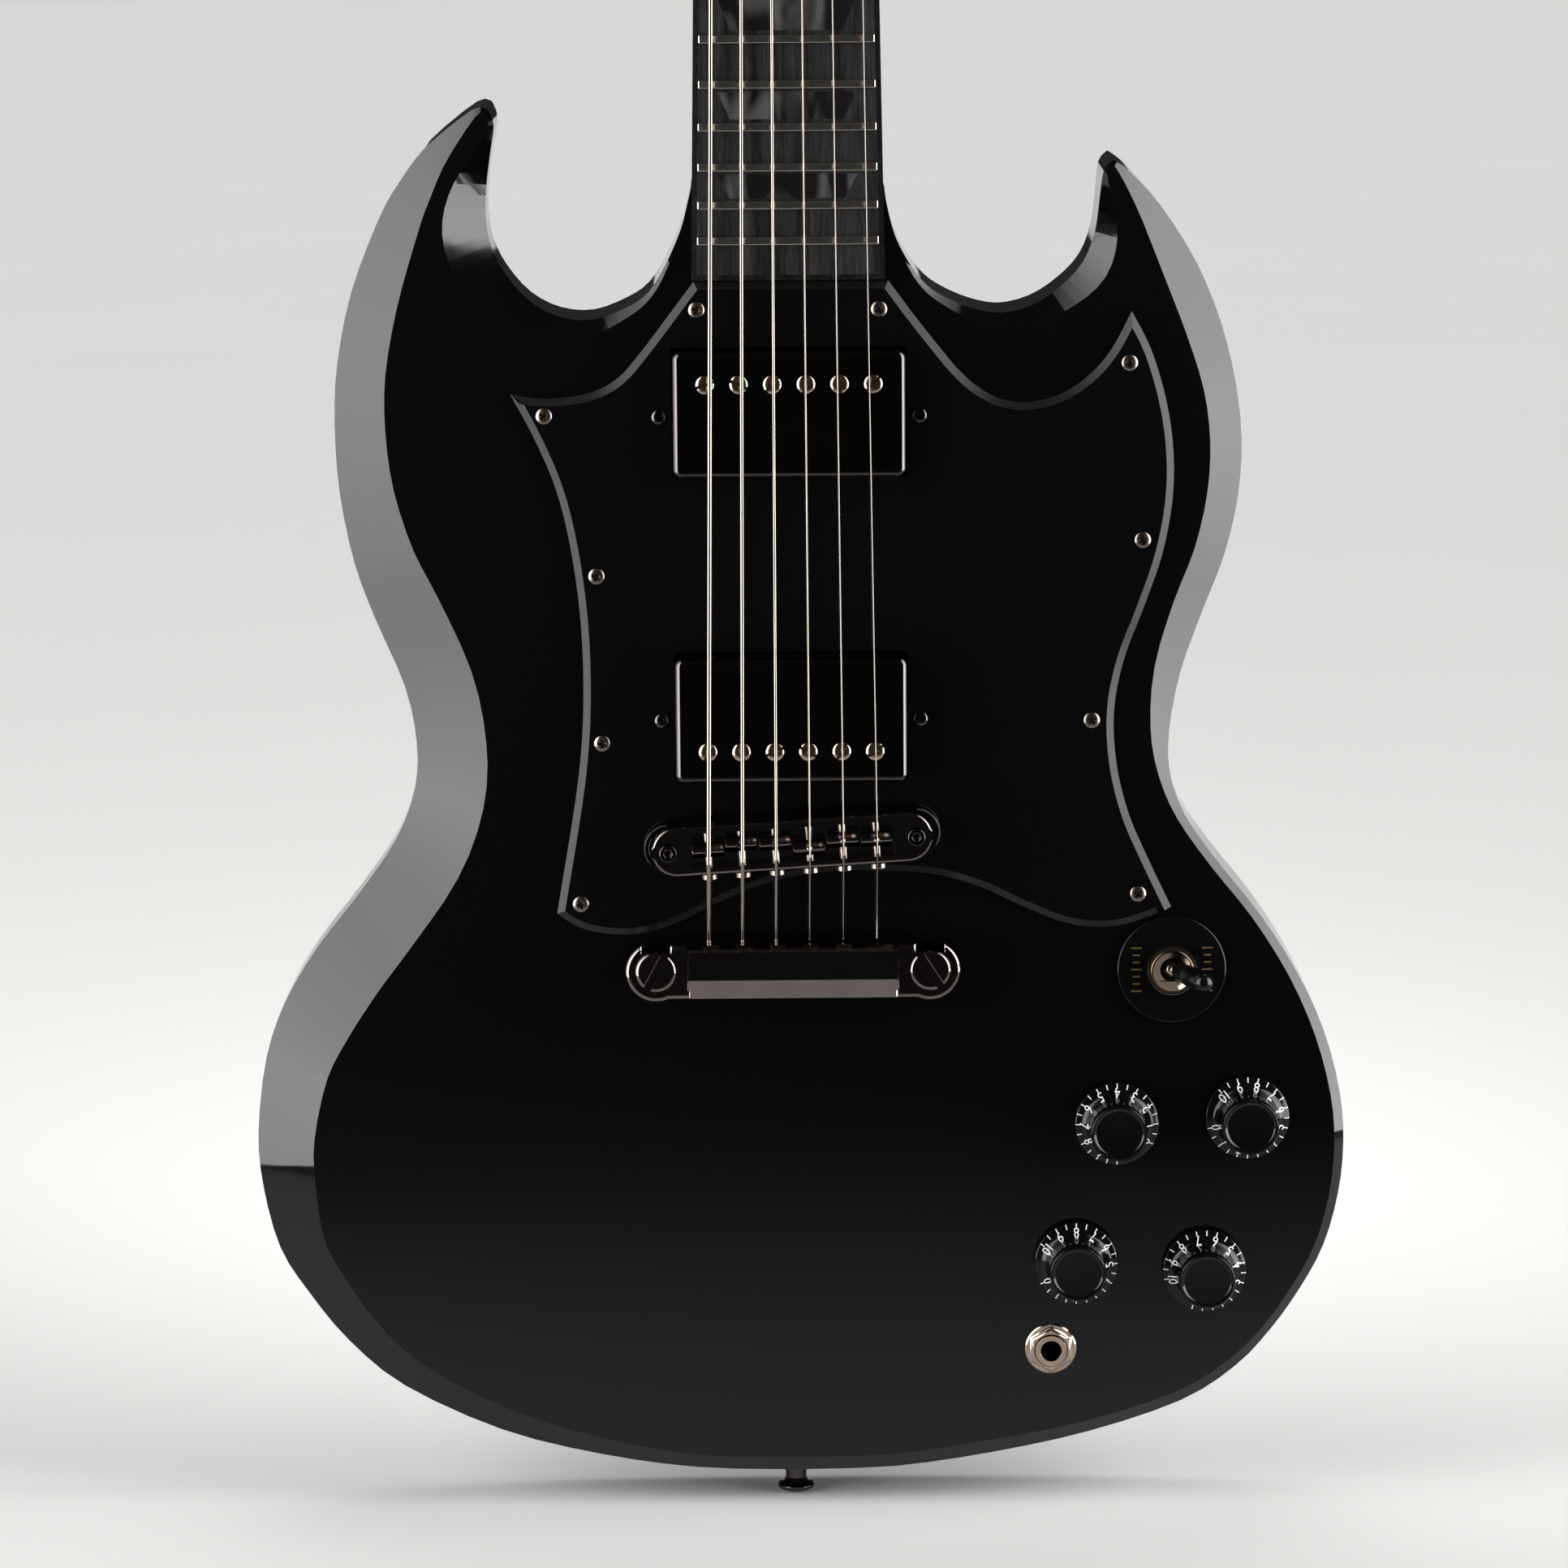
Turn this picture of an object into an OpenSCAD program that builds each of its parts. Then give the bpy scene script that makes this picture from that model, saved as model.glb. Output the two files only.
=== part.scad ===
// Solid-body electric guitar, double cutaway, set neck, two humbucking pickups.
// Millimetres. +Z runs up the neck, +X is the treble side, the face looks along -Y.
// The origin is the seat of the end strap button, at half the body's thickness.

/* [Body] */
// Thickness of the body from face to back
body_t = 35; // [33:0.5:38]
// Height of the bridge line above the body's bottom end
bridge_line = 201.4; // [200:0.2:203]
// Wood left between the face and the control cavity
top_skin = 9; // [8:0.5:10]

/* [Neck] */
// Scale length from the nut to the bridge line
scale_len = 628.65; // [622:0.05:636]
// Height of the fingerboard's lower end above the body's bottom end
board_end = 366.2; // [365.5:0.1:367]
// Fingerboard width at the nut
nut_w = 43; // [41:0.5:45]
// Fingerboard width at its lower end
board_end_w = 57.2; // [56:0.2:57.6]
// Fingerboard thickness on its centreline
board_t = 6; // [5.5:0.1:6.5]
// Fingerboard surface radius
board_radius = 304.8; // [240:5:410]
// Number of frets
fret_count = 22; // [20:1:22]
// Backward lean of the neck from the face of the body
neck_angle = 2.2; // [2:0.1:2.4]
// Backward lean of the headstock from the neck
head_angle = 15; // [13:0.5:17]
// Length of the headstock
head_len = 188; // [185:1:195]
// Thickness of the headstock
head_t = 14.5; // [13:0.5:15]

/* [Bridge and tailpiece] */
// Distance between the two bridge posts
post_span = 74.3; // [73:0.1:75]
// Slant of the bridge, treble end nearer the neck
bridge_slant = 3.4; // [2.5:0.1:4]
// Height of the strings' centres over the face at the saddles
string_h = 17.3; // [16.5:0.1:18]
// Spread of the outer strings at the bridge
string_spread = 50.4; // [49:0.2:51]
// Travel of a saddle each way from the middle of the bridge
saddle_travel = 2.6; // [1.6:0.1:2.6]
// Distance between the two tailpiece studs
tail_span = 82.2; // [81:0.2:84]

/* [Pickups and plate] */
// Length of a pickup cover
pickup_l = 69; // [68:0.5:70]
// Width of a pickup cover
pickup_w = 37.8; // [36:0.2:38.5]
// Thickness of the pickguard
plate_t = 2.3; // [1.8:0.1:2.5]

/* [Controls] */
// Diameter of a knob's skirt
knob_d = 25.4; // [24:0.2:26]
// Height of a knob above the face
knob_h = 16.4; // [15:0.2:18]
// Lean of the switch lever from upright, to the treble side
lever_lean = 22; // [18:1:24]
// Radius of the output jack's hole
jack_r = 3.2; // [3.2:0.05:3.3]

/* [Tuners] */
// Distance between neighbouring tuner posts along the headstock
tuner_pitch = 42; // [40:1:43]
// Radius of a tuner post
post_r = 3; // [2.8:0.1:3.2]

/* [Hidden] */
$fn = 48;

run_gap = 0.05;          // radial gap of a turning fit
eps = 0.01;              // a cut's overshoot past a face
screw_hole_r = 1.4;      // hole of a small plate screw
screw_seat_r = 2.45;     // sunk seat of its head
strap_hole_r = 1.7;      // hole of a strap button's screw
crown_fn = 360;          // steps of the fingerboard's wide arc
black = "#0d0d0f";
black_metal = "#26262a";
nickel = "#9a948c";

// --- Frames: bench is x treble, y up the neck, z out of the face ---

module bench() rotate([90, 0, 0]) translate([0, 0, body_t / 2]) children();
module on_neck() translate([0, board_end, 0]) rotate([-neck_angle, 0, 0]) children();
module on_head() on_neck() translate([0, head_root, 0]) rotate([-head_angle, 0, 0]) children();
module on_bridge() translate([0, bridge_mid, 0]) rotate([0, 0, bridge_slant]) children();

function tilt(p, a) = [p.x, p.y * cos(a) + p.z * sin(a), p.z * cos(a) - p.y * sin(a)];
function from_neck(p) = [0, board_end, 0] + tilt(p, neck_angle);
function from_head(p) = from_neck([0, head_root, 0] + tilt(p, head_angle));
function from_bridge(p) = [
    p.x * cos(bridge_slant) - p.y * sin(bridge_slant),
    bridge_mid + p.x * sin(bridge_slant) + p.y * cos(bridge_slant),
    p.z
];

// --- Smooth curves through a few points; the last point is left to the next curve ---

function knot(p, i) = p[max(0, min(len(p) - 1, i))];
function spline(a, b, c, d, t) =
    0.5 * (2 * b + (c - a) * t + (2 * a - 5 * b + 4 * c - d) * t * t
        + (3 * b - a - 3 * c + d) * t * t * t);
function curve(p, n) = [
    for (i = [0 : len(p) - 2], k = [0 : n - 1])
        spline(knot(p, i - 1), p[i], p[i + 1], knot(p, i + 2), k / n)
];
function closed_curve(p, n) = [
    for (i = [0 : len(p) - 1], k = [0 : n - 1])
        let (m = len(p))
        spline(p[(i + m - 1) % m], p[i], p[(i + 1) % m], p[(i + 2) % m], k / n)
];
function mirrored(p) = [for (i = [len(p) - 1 : -1 : 0]) [-p[i].x, p[i].y]];
function ring(p, z, inset) = [
    for (i = [0 : len(p) - 1])
        let (a = p[(i + len(p) - 1) % len(p)], b = p[(i + 1) % len(p)],
            t = [b.x - a.x, b.y - a.y] / norm([b.x - a.x, b.y - a.y]))
        [p[i].x - t.y * inset[i], p[i].y + t.x * inset[i], is_list(z) ? z[i] : z]
];
function flat(p) = [for (q = p) [q.x, q.y]];

// A closed band: each ring is joined to the next, and the last to the first
module hoop(rings) {
    n = len(rings[0]);
    m = len(rings);
    polyhedron(
        points = [for (r = rings) each r],
        faces = [
            for (k = [0 : m - 1], i = [0 : n - 1])
                let (a = k * n + i, b = k * n + (i + 1) % n,
                    c = (k + 1) % m * n + (i + 1) % n, d = (k + 1) % m * n + i)
                each [[a, b, c], [a, c, d]]
        ],
        convexity = 8
    );
}

module loft(rings) {
    n = len(rings[0]);
    last = len(rings) - 1;
    polyhedron(
        points = [for (r = rings) each r],
        faces = concat(
            [[for (i = [n - 1 : -1 : 0]) i]],
            [for (k = [0 : last - 1], i = [0 : n - 1])
                [k * n + i, k * n + (i + 1) % n, (k + 1) * n + (i + 1) % n]],
            [for (k = [0 : last - 1], i = [0 : n - 1])
                [k * n + i, (k + 1) * n + (i + 1) % n, (k + 1) * n + i]],
            [[for (i = [0 : n - 1]) last * n + i]]
        ),
        convexity = 8
    );
}

module rod(a, b, r) {
    way = b - a;
    translate(a)
        rotate([0, acos(way.z / norm(way)), atan2(way.y, way.x)])
            cylinder(r = r, h = norm(way));
}

module block(low, high) translate(low) cube(high - low);

module tube(r_out, r_in, z0, z1) translate([0, 0, z0]) difference() {
    cylinder(r = r_out, h = z1 - z0);
    translate([0, 0, -eps]) cylinder(r = r_in, h = z1 - z0 + 2 * eps);
}

module screw(head_r, head_h, shank_r, shank_h, slot_w, slot_count) difference() {
    union() {
        cylinder(r = head_r, h = head_h);
        translate([0, 0, -shank_h]) cylinder(r = shank_r, h = shank_h + eps);
    }
    for (k = [1 : slot_count])
        rotate([0, 0, 45 + 90 * k])
            translate([-head_r * 0.66, -slot_w / 2, head_h * 0.45])
                cube([head_r * 1.32, slot_w, head_h]);
}

// --- Body: an edge line with a bevel along it, [x, y, bevel width, bevel depth] ---

treble_edge = [
    [0, 0, 5, 4], [30, 0.8, 5, 4], [60, 5, 5, 4], [90, 11.5, 4.5, 4], [118, 21.2, 4, 3.5],
    [134.3, 32, 3.5, 3], [145, 43.5, 3, 3], [154, 56.5, 3, 3], [161, 70, 3, 3],
    [165.3, 86, 3, 3], [166.8, 102, 3, 3], [165.5, 118, 3, 3], [160.5, 137, 3, 3],
    [152, 155.5, 2.6, 2.6], [140.5, 173.5, 2.3, 2.4], [127.8, 189.6, 2.3, 2.4],
    [118, 204, 2.5, 2.6], [113.6, 217, 3.6, 3], [113.6, 230, 6, 4.5], [117, 247, 8.5, 6],
    [123.5, 265, 9.8, 7], [130, 282, 9.8, 7], [134, 300, 9.8, 7], [134.9, 317, 9.8, 7],
    [133, 334, 10, 7], [128.5, 352, 11, 7.5], [121, 370, 10.5, 7.2], [110.5, 386.5, 7, 4.8],
    [101, 397, 3, 2.2], [96.2, 400.6, 1, 1]
];
treble_cutaway = [
    [96.2, 400.6, 1, 1], [93.4, 397.4, 1, 2], [92.3, 388.5, 3.5, 5], [91, 379, 6.5, 6],
    [87.5, 370, 7.5, 6], [81, 363, 6.5, 5.5], [72.5, 357.5, 5, 4.5], [63, 355.3, 4, 4],
    [54, 357, 3, 3], [46, 360.5, 2, 2], [41, 364, 1.5, 1.5], [36.5, 369.5, 1, 1],
    [31.8, 378.5, 0.8, 1], [29.3, 388, 0.6, 1], [28.6, 393, 0.6, 1]
];
bass_cutaway = [
    [-28.6, 393, 0.6, 1], [-29.5, 389, 0.6, 1], [-31.8, 380.5, 0.8, 1], [-36.5, 370, 1, 1],
    [-41.5, 362.3, 1.5, 1.5], [-48, 357.8, 2.5, 2], [-58, 354.2, 4, 3.5], [-68, 355, 6, 5],
    [-77, 359.8, 9, 6.5], [-84, 367.9, 12, 7.5], [-88, 376, 13, 8], [-89.4, 384.5, 12.5, 8],
    [-89, 394, 9.5, 8], [-87.6, 404, 4.5, 6], [-86.4, 412, 1.6, 2.5], [-88, 416.6, 1, 1]
];
bass_edge = [
    [-88, 416.6, 1, 1], [-92.5, 416.7, 2, 1.5], [-106.5, 405.6, 7.5, 5], [-114.8, 395, 10.5, 7],
    [-121.1, 384.1, 12.5, 8.4], [-129.7, 362.4, 14.5, 9.5], [-134.4, 340.7, 15, 10],
    [-135.5, 322, 15.6, 10], [-134.4, 302, 16.8, 10.5], [-130.5, 281, 19, 11],
    [-124.5, 263.6, 21, 11.5], [-116, 243, 21.5, 11.5], [-112.8, 226, 21.5, 11.5],
    [-113.6, 212, 21.5, 11.5], [-119.4, 196.6, 21.5, 11.5], [-130.8, 180, 21.5, 11.5],
    [-144.1, 163, 22, 11.5], [-154, 146.5, 21.5, 11.5], [-160.1, 129.2, 19.6, 11],
    [-163, 106.4, 17.7, 10.5], [-161.8, 89, 16.8, 10], [-157, 70, 15, 9.5],
    [-148.5, 56, 13.5, 9], [-136.5, 41, 12, 8], [-119.5, 26.6, 10.5, 7.5],
    [-90, 12.9, 8.5, 6], [-60, 5.2, 6.5, 5], [-30, 1, 5, 4], [0, 0, 5, 4]
];
edge_steps = 3;
body_edge = concat(
    curve(treble_edge, edge_steps), curve(treble_cutaway, edge_steps), [[28.6, 393, 0.6, 1]],
    curve(bass_cutaway, edge_steps), curve(bass_edge, edge_steps)
);
back_share = 0.7;        // the back bevel against the front one
every = [for (p = body_edge) 1];
bevel_w = [for (p = body_edge) p[2]];
bevel_d = [for (p = body_edge) p[3]];

// --- Pickguard outline, from one tip to the next ---

plate_outline = concat(
    curve([[-28, 365.6], [-36.5, 354.3], [-43.7, 345], [-50, 337.8], [-57, 333.6],
        [-66, 331.6], [-75, 331.4], [-82.7, 332.8]], 4),
    curve([[-82.7, 332.8], [-75.5, 319], [-69.4, 304], [-65.4, 287], [-62.8, 267],
        [-62, 248], [-62.6, 229], [-65, 209], [-70.8, 175.5]], 4),
    curve([[-70.8, 175.5], [-64, 171.2], [-55, 169.1], [-45, 169.3], [-35, 172.3],
        [-20, 179.6], [-5, 185.1], [10, 187.7], [25, 187.9], [42, 186.8], [56, 182.9],
        [70, 176.3], [83, 171.2], [95, 170.1], [105, 172.3], [113.9, 176.2]], 4),
    curve([[113.9, 176.2], [106.6, 191.7], [101, 205], [97.4, 220], [96.6, 236],
        [99.5, 251.5], [105.5, 267.5], [110.8, 283], [113.8, 299], [114.1, 314],
        [112, 329], [107.5, 344.3], [101.6, 356]], 4),
    curve([[101.6, 356], [96, 345.3], [89.7, 337.7], [81.3, 331.9], [72, 329.3],
        [63.3, 330.1], [56.1, 333.8], [50.1, 339.2], [44, 346.6], [36.9, 355.7],
        [29.6, 365.6]], 4),
    [[29.6, 365.6]]
);

// --- Control cavity and its cover, in the back ---

cavity_outline = closed_curve([
    [63, 44], [69, 30], [84, 24.5], [108, 32.5], [129, 45], [142, 64], [150, 88], [151, 114],
    [143, 142], [129.5, 165], [113, 173], [96.5, 164], [81, 140], [69, 112], [62.5, 76]
], 4);
cover_t = 2.3;
cover_lip = 7;           // ledge that the cover is screwed to
cover_gap = 0.1;         // half the gap round the cover
ledge = ring(cavity_outline, 0, [for (p = cavity_outline) -cover_lip / 2]);
cover_screws = [for (k = [0, 3, 6, 8, 10, 13]) [ledge[4 * k].x, ledge[4 * k].y]];

// --- Shared places and derived sizes ---

nut_t = 5;
nut_dist = scale_len + bridge_line - board_end;
head_root = nut_dist + nut_t;
bridge_mid = bridge_line - 2.9;
plate_screws_at = [
    [-27.2, 357.4], [26.8, 357.3], [101, 340.8], [-72.7, 326.2], [-57.7, 278.1],
    [105, 287.8], [89.9, 233.5], [-56.6, 227.6], [-63.6, 178.6], [103.9, 180.4]
];
neck_pickup = [0, 326.9, 8.8];      // centre, and height of the cover's top
bridge_pickup = [0, 235.6, 12.4];
pickups = [neck_pickup, bridge_pickup];
pole_side = [9, -9.2];              // row of pole screws off a cover's centre
knobs = [[97.7, 109.6], [137.2, 111.2], [85.4, 66.2], [124.4, 63.6]];
switch_at = [114.2, 156.9];
jack_at = [77.8, 38.8];
tail_line = bridge_line - 41.5;
tail_floor = 4.4;                   // underside of the tailpiece
tail_top = 13.4;
string_gauges = [0.66, 0.53, 0.41, 0.22, 0.17, 0.13];
saddle_rest = [0.2, 1.5, 1, -1.1, 0.6, 0.2];
string_pitch = string_spread / 5;
nut_spread = 35.8;
head_edge_x = 40;                   // widest half width of the headstock

function saddle_x(i) = (i - 2.5) * string_pitch;
function nut_x(i) = (i - 2.5) * nut_spread / 5;
function fret_at(n) = nut_dist - scale_len * (1 - pow(2, -n / 12));
function half_w(y) = board_end_w / 2 + (nut_w - board_end_w) / 2 * y / nut_dist;
function tuner_row(i) = i < 3 ? i : 5 - i;
function tuner_side(i) = i < 3 ? -1 : 1;
function tuner_at(i) = [tuner_side(i) * (20.5 + 3 * tuner_row(i)), 46 + tuner_pitch * tuner_row(i)];

// --- Wooden parts ---

// The edge taken off on a slope, a share of the bevel's width and depth
module bevel_cut(share) {
    over = 0.5;
    steep = [for (i = [0 : len(body_edge) - 1]) over * bevel_w[i] / bevel_d[i]];
    hoop([
        ring(body_edge, over, bevel_w * share + steep), ring(body_edge, over, -steep - every),
        ring(body_edge, -bevel_d * share - over * every, -steep)
    ]);
}

// Three planks glued edge to edge: a core under the neck and pickups, and a wing on each side of it.
// Each plank carries its share of the routes.
module body_planks(wings) color(black) bench() difference() {
    translate([0, 0, -body_t]) linear_extrude(body_t) polygon(flat(body_edge));
    if (wings) block([-core_half_w, -20, -60], [core_half_w, 440, 20]);
    else for (s = [0, 1]) mirror([s, 0, 0]) block([core_half_w, -20, -60], [200, 440, 20]);
    // Bevels along the edge of the face and of the back
    bevel_cut(1);
    translate([0, 0, -body_t]) mirror([0, 0, 1]) bevel_cut(back_share);
    // Neck mortise, and the face planed to the neck's lean beside it
    block([-tenon_w / 2, tenon_end, -tenon_d], [tenon_w / 2, 400, 1]);
    translate([0, board_end, 0]) rotate([-neck_angle, 0, 0]) block([-40, -1, 0], [40, 60, 10]);
    // Pickup routes with ears for the height screws
    for (p = pickups) {
        block([-pickup_l / 2 - 2, p.y - pickup_w / 2 - 2, -20],
            [pickup_l / 2 + 2, p.y + pickup_w / 2 + 2, 1]);
        block([-44, p.y - 7, -20], [44, p.y + 7, 1]);
    }
    // Wire ways from the neck route to the bridge route and on to the controls
    rod([0, neck_pickup.y, -14], [0, bridge_pickup.y, -14], 4);
    rod([20, bridge_pickup.y, -14], [112, 165, -14], 4);
    // Control cavity, its ledge for the cover, and the holes through the skin
    translate([0, 0, -body_t - 1])
        linear_extrude(body_t + 1 - top_skin) polygon(cavity_outline);
    translate([0, 0, -body_t - 1]) linear_extrude(cover_t + 1.1) cover_shape(cover_gap);
    for (k = knobs) translate([k.x, k.y, -15]) cylinder(r = pot_bush_r + 0.1, h = 20);
    translate([switch_at.x, switch_at.y, -15]) cylinder(r = switch_barrel_r + 0.1, h = 20);
    translate([jack_at.x, jack_at.y, -15]) cylinder(r = jack_barrel_r + 0.1, h = 20);
    // Bushing holes
    for (s = [-1, 1]) {
        translate(from_bridge([s * post_span / 2, 0, -20])) cylinder(r = post_bush_r, h = 30);
        translate([s * tail_span / 2, tail_line, -24]) cylinder(r = tail_bush_r, h = 30);
    }
    // Screw holes
    for (p = plate_screws_at) translate([p.x, p.y, -9]) cylinder(r = screw_hole_r, h = 10);
    for (p = cover_screws) translate([p.x, p.y, -body_t]) cylinder(r = screw_hole_r, h = 10);
    translate([0, 0, -body_t / 2]) rotate([-90, 0, 0]) translate([0, 0, -1])
        cylinder(r = strap_hole_r, h = 27);
    translate([0, heel_button, -body_t - 1]) cylinder(r = strap_hole_r, h = 11);
}
core_half_w = 38;        // from the centre line to each glue seam
tenon_w = 38;
tenon_d = 22;
tenon_end = 349.2;
heel_face = 393;         // where the neck's heel meets the body's end
heel_button = 378;

module neck_shaft() {
    // Rings of half an oval: [distance up the neck, half width shrink, depth]
    stations = [
        [nut_dist + 7, 1.6, 13.6], [nut_dist - 6, 0.4, 14.2], [nut_dist - 60, 0.3, 14.6],
        [nut_dist - 190, 0.3, 15.6], [130, 0.3, 16.8], [80, 0.3, 18], [58, 0.3, 20.5],
        [44, 0.3, 25], [34, 0.3, 30.5], [24, 0.3, 34]
    ];
    sides = 20;
    rings = [
        for (s = stations)
            let (w = half_w(min(s[0], nut_dist)) - s[1], oval = max(0.62, 1.35 - s[2] / 24))
            [for (k = [0 : sides])
                let (a = 180 * k / sides)
                [w * sign(cos(a)) * pow(abs(cos(a)), oval), s[0],
                    k == 0 || k == sides ? 0 : -s[2] * pow(sin(a), oval)]]
    ];
    loft(rings);
}

module neck() color(black) bench() {
    difference() {
        union() {
            difference() {
                on_neck() neck_shaft();
                block([-60, 340, -80], [60, heel_face, 40]);
            }
            difference() {
                block([-tenon_w / 2, tenon_end, -tenon_d], [tenon_w / 2, heel_face + 10, 3]);
                on_neck() block([-40, -40, 0], [40, 60, 10]);
                block([-40, tenon_end - 1, 0], [40, board_end, 10]);
            }
            on_head() translate([0, 0, -head_t])
                linear_extrude(head_t) polygon(head_outline);
        }
        // Seat of the nut, and the headstock's face below the neck's line
        on_neck() block([-40, nut_dist, 0], [40, head_root, 10]);
        on_head() block([-40, 0, 0], [40, 20, 10]);
        // Truss rod channel and its pocket in the headstock
        on_neck() block([-3, 8, rod_z - 3], [3, nut_dist - 2, 1]);
        on_head() block([-pocket_w / 2, 2, -10.5], [pocket_w / 2, 34, 1]);
        on_neck() translate([0, nut_dist - 4, rod_z]) rotate([-90, 0, 0])
            cylinder(r = 2.8, h = 12);
        // Tuner holes
        for (i = [0 : 5]) on_head() translate([tuner_at(i).x, tuner_at(i).y, -head_t - 1])
            cylinder(r = tuner_bush_r, h = head_t + 2);
        // Screw holes of the truss rod cover
        for (p = rod_cover_screws) on_head() translate([p.x, p.y, -8]) cylinder(r = 1, h = 9);
    }
}
rod_z = -6.5;            // the truss rod's axis under the fingerboard
pocket_w = 13;
rod_cover_screws = [[-9, 6], [9, 6], [0, 40.5]];
head_side = [
    [21.4, -2], [22.6, 6], [27.5, 17], [31, 30], [33, 60], [35.5, 100], [38, 135],
    [head_edge_x, 165], [38.6, 178], [31, head_len - 3.5], [16, head_len - 0.6], [0, head_len]
];
head_outline = concat(
    curve(head_side, 4), [[0, head_len]], mirrored(curve(head_side, 4))
);

module board_crown(down) intersection() {
    children();
    translate([0, -10, board_t - board_radius]) rotate([-90, 0, 0])
        cylinder(r = board_radius - down, h = nut_dist + 30, $fn = crown_fn);
}

module board_shape(margin, top_margin) polygon([
    [-half_w(0) + margin, margin], [half_w(0) - margin, margin],
    [half_w(nut_dist) - margin, nut_dist - top_margin],
    [-half_w(nut_dist) + margin, nut_dist - top_margin]
]);
binding_w = 1.6;

module fingerboard() color("#2a2725") bench() on_neck() difference() {
    board_crown(0) linear_extrude(board_t) board_shape(binding_w, 0);
    inlay_blocks();
}

module fingerboard_binding() color(black) bench() on_neck()
    board_crown(0) linear_extrude(board_t) difference() {
        board_shape(0, 0);
        difference() {
            board_shape(binding_w, 0);
            translate([-40, nut_dist]) square([80, 5]);
        }
    }

inlay_frets = [3, 5, 7, 9, 12, 15, 17, 19, 21];
inlay_t = 1.4;
module inlay_blocks() for (n = inlay_frets) {
    low = fret_at(n);
    high = fret_at(n - 1);
    room = (high - low) * 0.18;
    wide = half_w(high) * 0.735;
    narrow = half_w(low) * 0.6;
    translate([0, 0, board_t - 1.4 - inlay_t]) linear_extrude(3)
        polygon([[-narrow, low + room], [narrow, low + room],
            [wide, high - room], [-wide, high - room]]);
}

module inlays() color("#4a4a4e") bench() on_neck() board_crown(0) inlay_blocks();

fret_h = 1.05;
fret_w = 2.5;
module frets() color("#b4b0a8") bench() on_neck()
    for (n = [1 : fret_count]) {
        w = half_w(fret_at(n)) - binding_w;
        translate([0, fret_at(n) + fret_w / 2, board_t - board_radius]) rotate([90, 0, 0])
            linear_extrude(fret_w) difference() {
                intersection() {
                    circle(r = board_radius + fret_h, $fn = crown_fn);
                    translate([-w, board_radius - 3]) square([2 * w, 6]);
                }
                circle(r = board_radius, $fn = crown_fn);
            }
    }

nut_h = board_t + 1.6;
module nut() color("#141416") bench() on_neck() difference() {
    // The crest slopes away behind the first edge
    translate([-nut_w / 2 + 0.2, nut_dist, 0]) rotate([90, 0, 90]) linear_extrude(nut_w - 0.4)
        polygon([[0, 0], [nut_t, 0], [nut_t, nut_h - 2.6], [1.8, nut_h + 0.2], [0, nut_h + 0.2]]);
    for (i = [0 : 5])
        rod([nut_x(i), nut_dist - 1, nut_h + 0.15], [nut_x(i), head_root + 1, nut_h - 1.3],
            string_gauges[i] + 0.35);
}

// --- Truss rod ---

module truss_rod() color("#7d7d80") bench() on_neck() {
    translate([0, 10, rod_z]) rotate([-90, 0, 0]) cylinder(r = 2.4, h = nut_dist + 7);
    translate([0, head_root + 3, rod_z]) rotate([-90, 0, 0]) cylinder(r = 3.2, h = 8, $fn = 6);
}

module truss_rod_cover() on_head() difference() {
    linear_extrude(plate_t) polygon(concat(
        curve(truss_side, 4), mirrored(curve(truss_side, 4))
    ));
    for (p = rod_cover_screws) translate([p.x, p.y, -1]) cylinder(r = 1.2, h = 6);
}
truss_side = [[0.01, 1.2], [11, 1.2], [12.6, 4], [12.4, 12], [10, 28], [6.8, 40], [0.01, 46.5]];

// --- Pickguard and small plate screws ---

module pickguard() color("#101012") bench() difference() {
    linear_extrude(plate_t) polygon(plate_outline);
    for (p = pickups)
        block([-pickup_l / 2 - 0.4, p.y - pickup_w / 2 - 0.4, -1],
            [pickup_l / 2 + 0.4, p.y + pickup_w / 2 + 0.4, 5]);
    for (p = pickups, s = [-1, 1])
        translate([s * height_screw_x, p.y - 1.2, -1]) cylinder(r = 1.6, h = 5);
    for (p = plate_screws_at) translate([p.x, p.y, -1]) cylinder(r = screw_hole_r, h = 5);
    for (p = plate_screws_at) translate([p.x, p.y, plate_t - 1]) cylinder(r = screw_seat_r, h = 5);
    for (s = [-1, 1])
        translate(from_bridge([s * post_span / 2, 0, -1])) cylinder(r = 4.4, h = 5);
}
height_screw_x = 38.7;

module plate_screws() color(nickel) bench() {
    for (p = plate_screws_at) translate([p.x, p.y, plate_t - 0.95])
        screw(2.4, 1.65, 1.3, 9, 0.6, 2);
    for (p = cover_screws) translate([p.x, p.y, -body_t + 0.6]) rotate([180, 0, 0])
        screw(2.4, 1.2, 1.3, 8, 0.6, 2);
    for (p = rod_cover_screws) on_head() translate([p.x, p.y, plate_t + 0.01])
        screw(2.1, 1, 0.95, 8, 0.5, 2);
}

// --- Pickups: cover, two bobbins of wire, base plate, poles ---

module pickup_covers() color(black_metal) bench() for (p = pickups) difference() {
    rounded_block(p, pickup_l, pickup_w, p.z - cover_h, p.z, 2.6);
    rounded_block(p, pickup_l - 1.2, pickup_w - 1.2, p.z - cover_h - 1, p.z - 0.7, 2);
    for (i = [0 : 5]) translate([pole_x(i), p.y + pole_of(p), p.z - 2])
        cylinder(r = 2.85, h = 4);
}
cover_h = 15.5;
function pole_x(i) = (i - 2.5) * 9.95;
function pole_of(p) = p.y > 300 ? pole_side[0] : pole_side[1];

module rounded_block(p, l, w, z0, z1, r) translate([p.x, p.y, z0]) linear_extrude(z1 - z0) {
    square([l - 2 * r, w], center = true);
    square([l, w - 2 * r], center = true);
    for (sx = [-1, 1], sy = [-1, 1])
        translate([sx * (l / 2 - r), sy * (w / 2 - r)]) circle(r);
}

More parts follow.
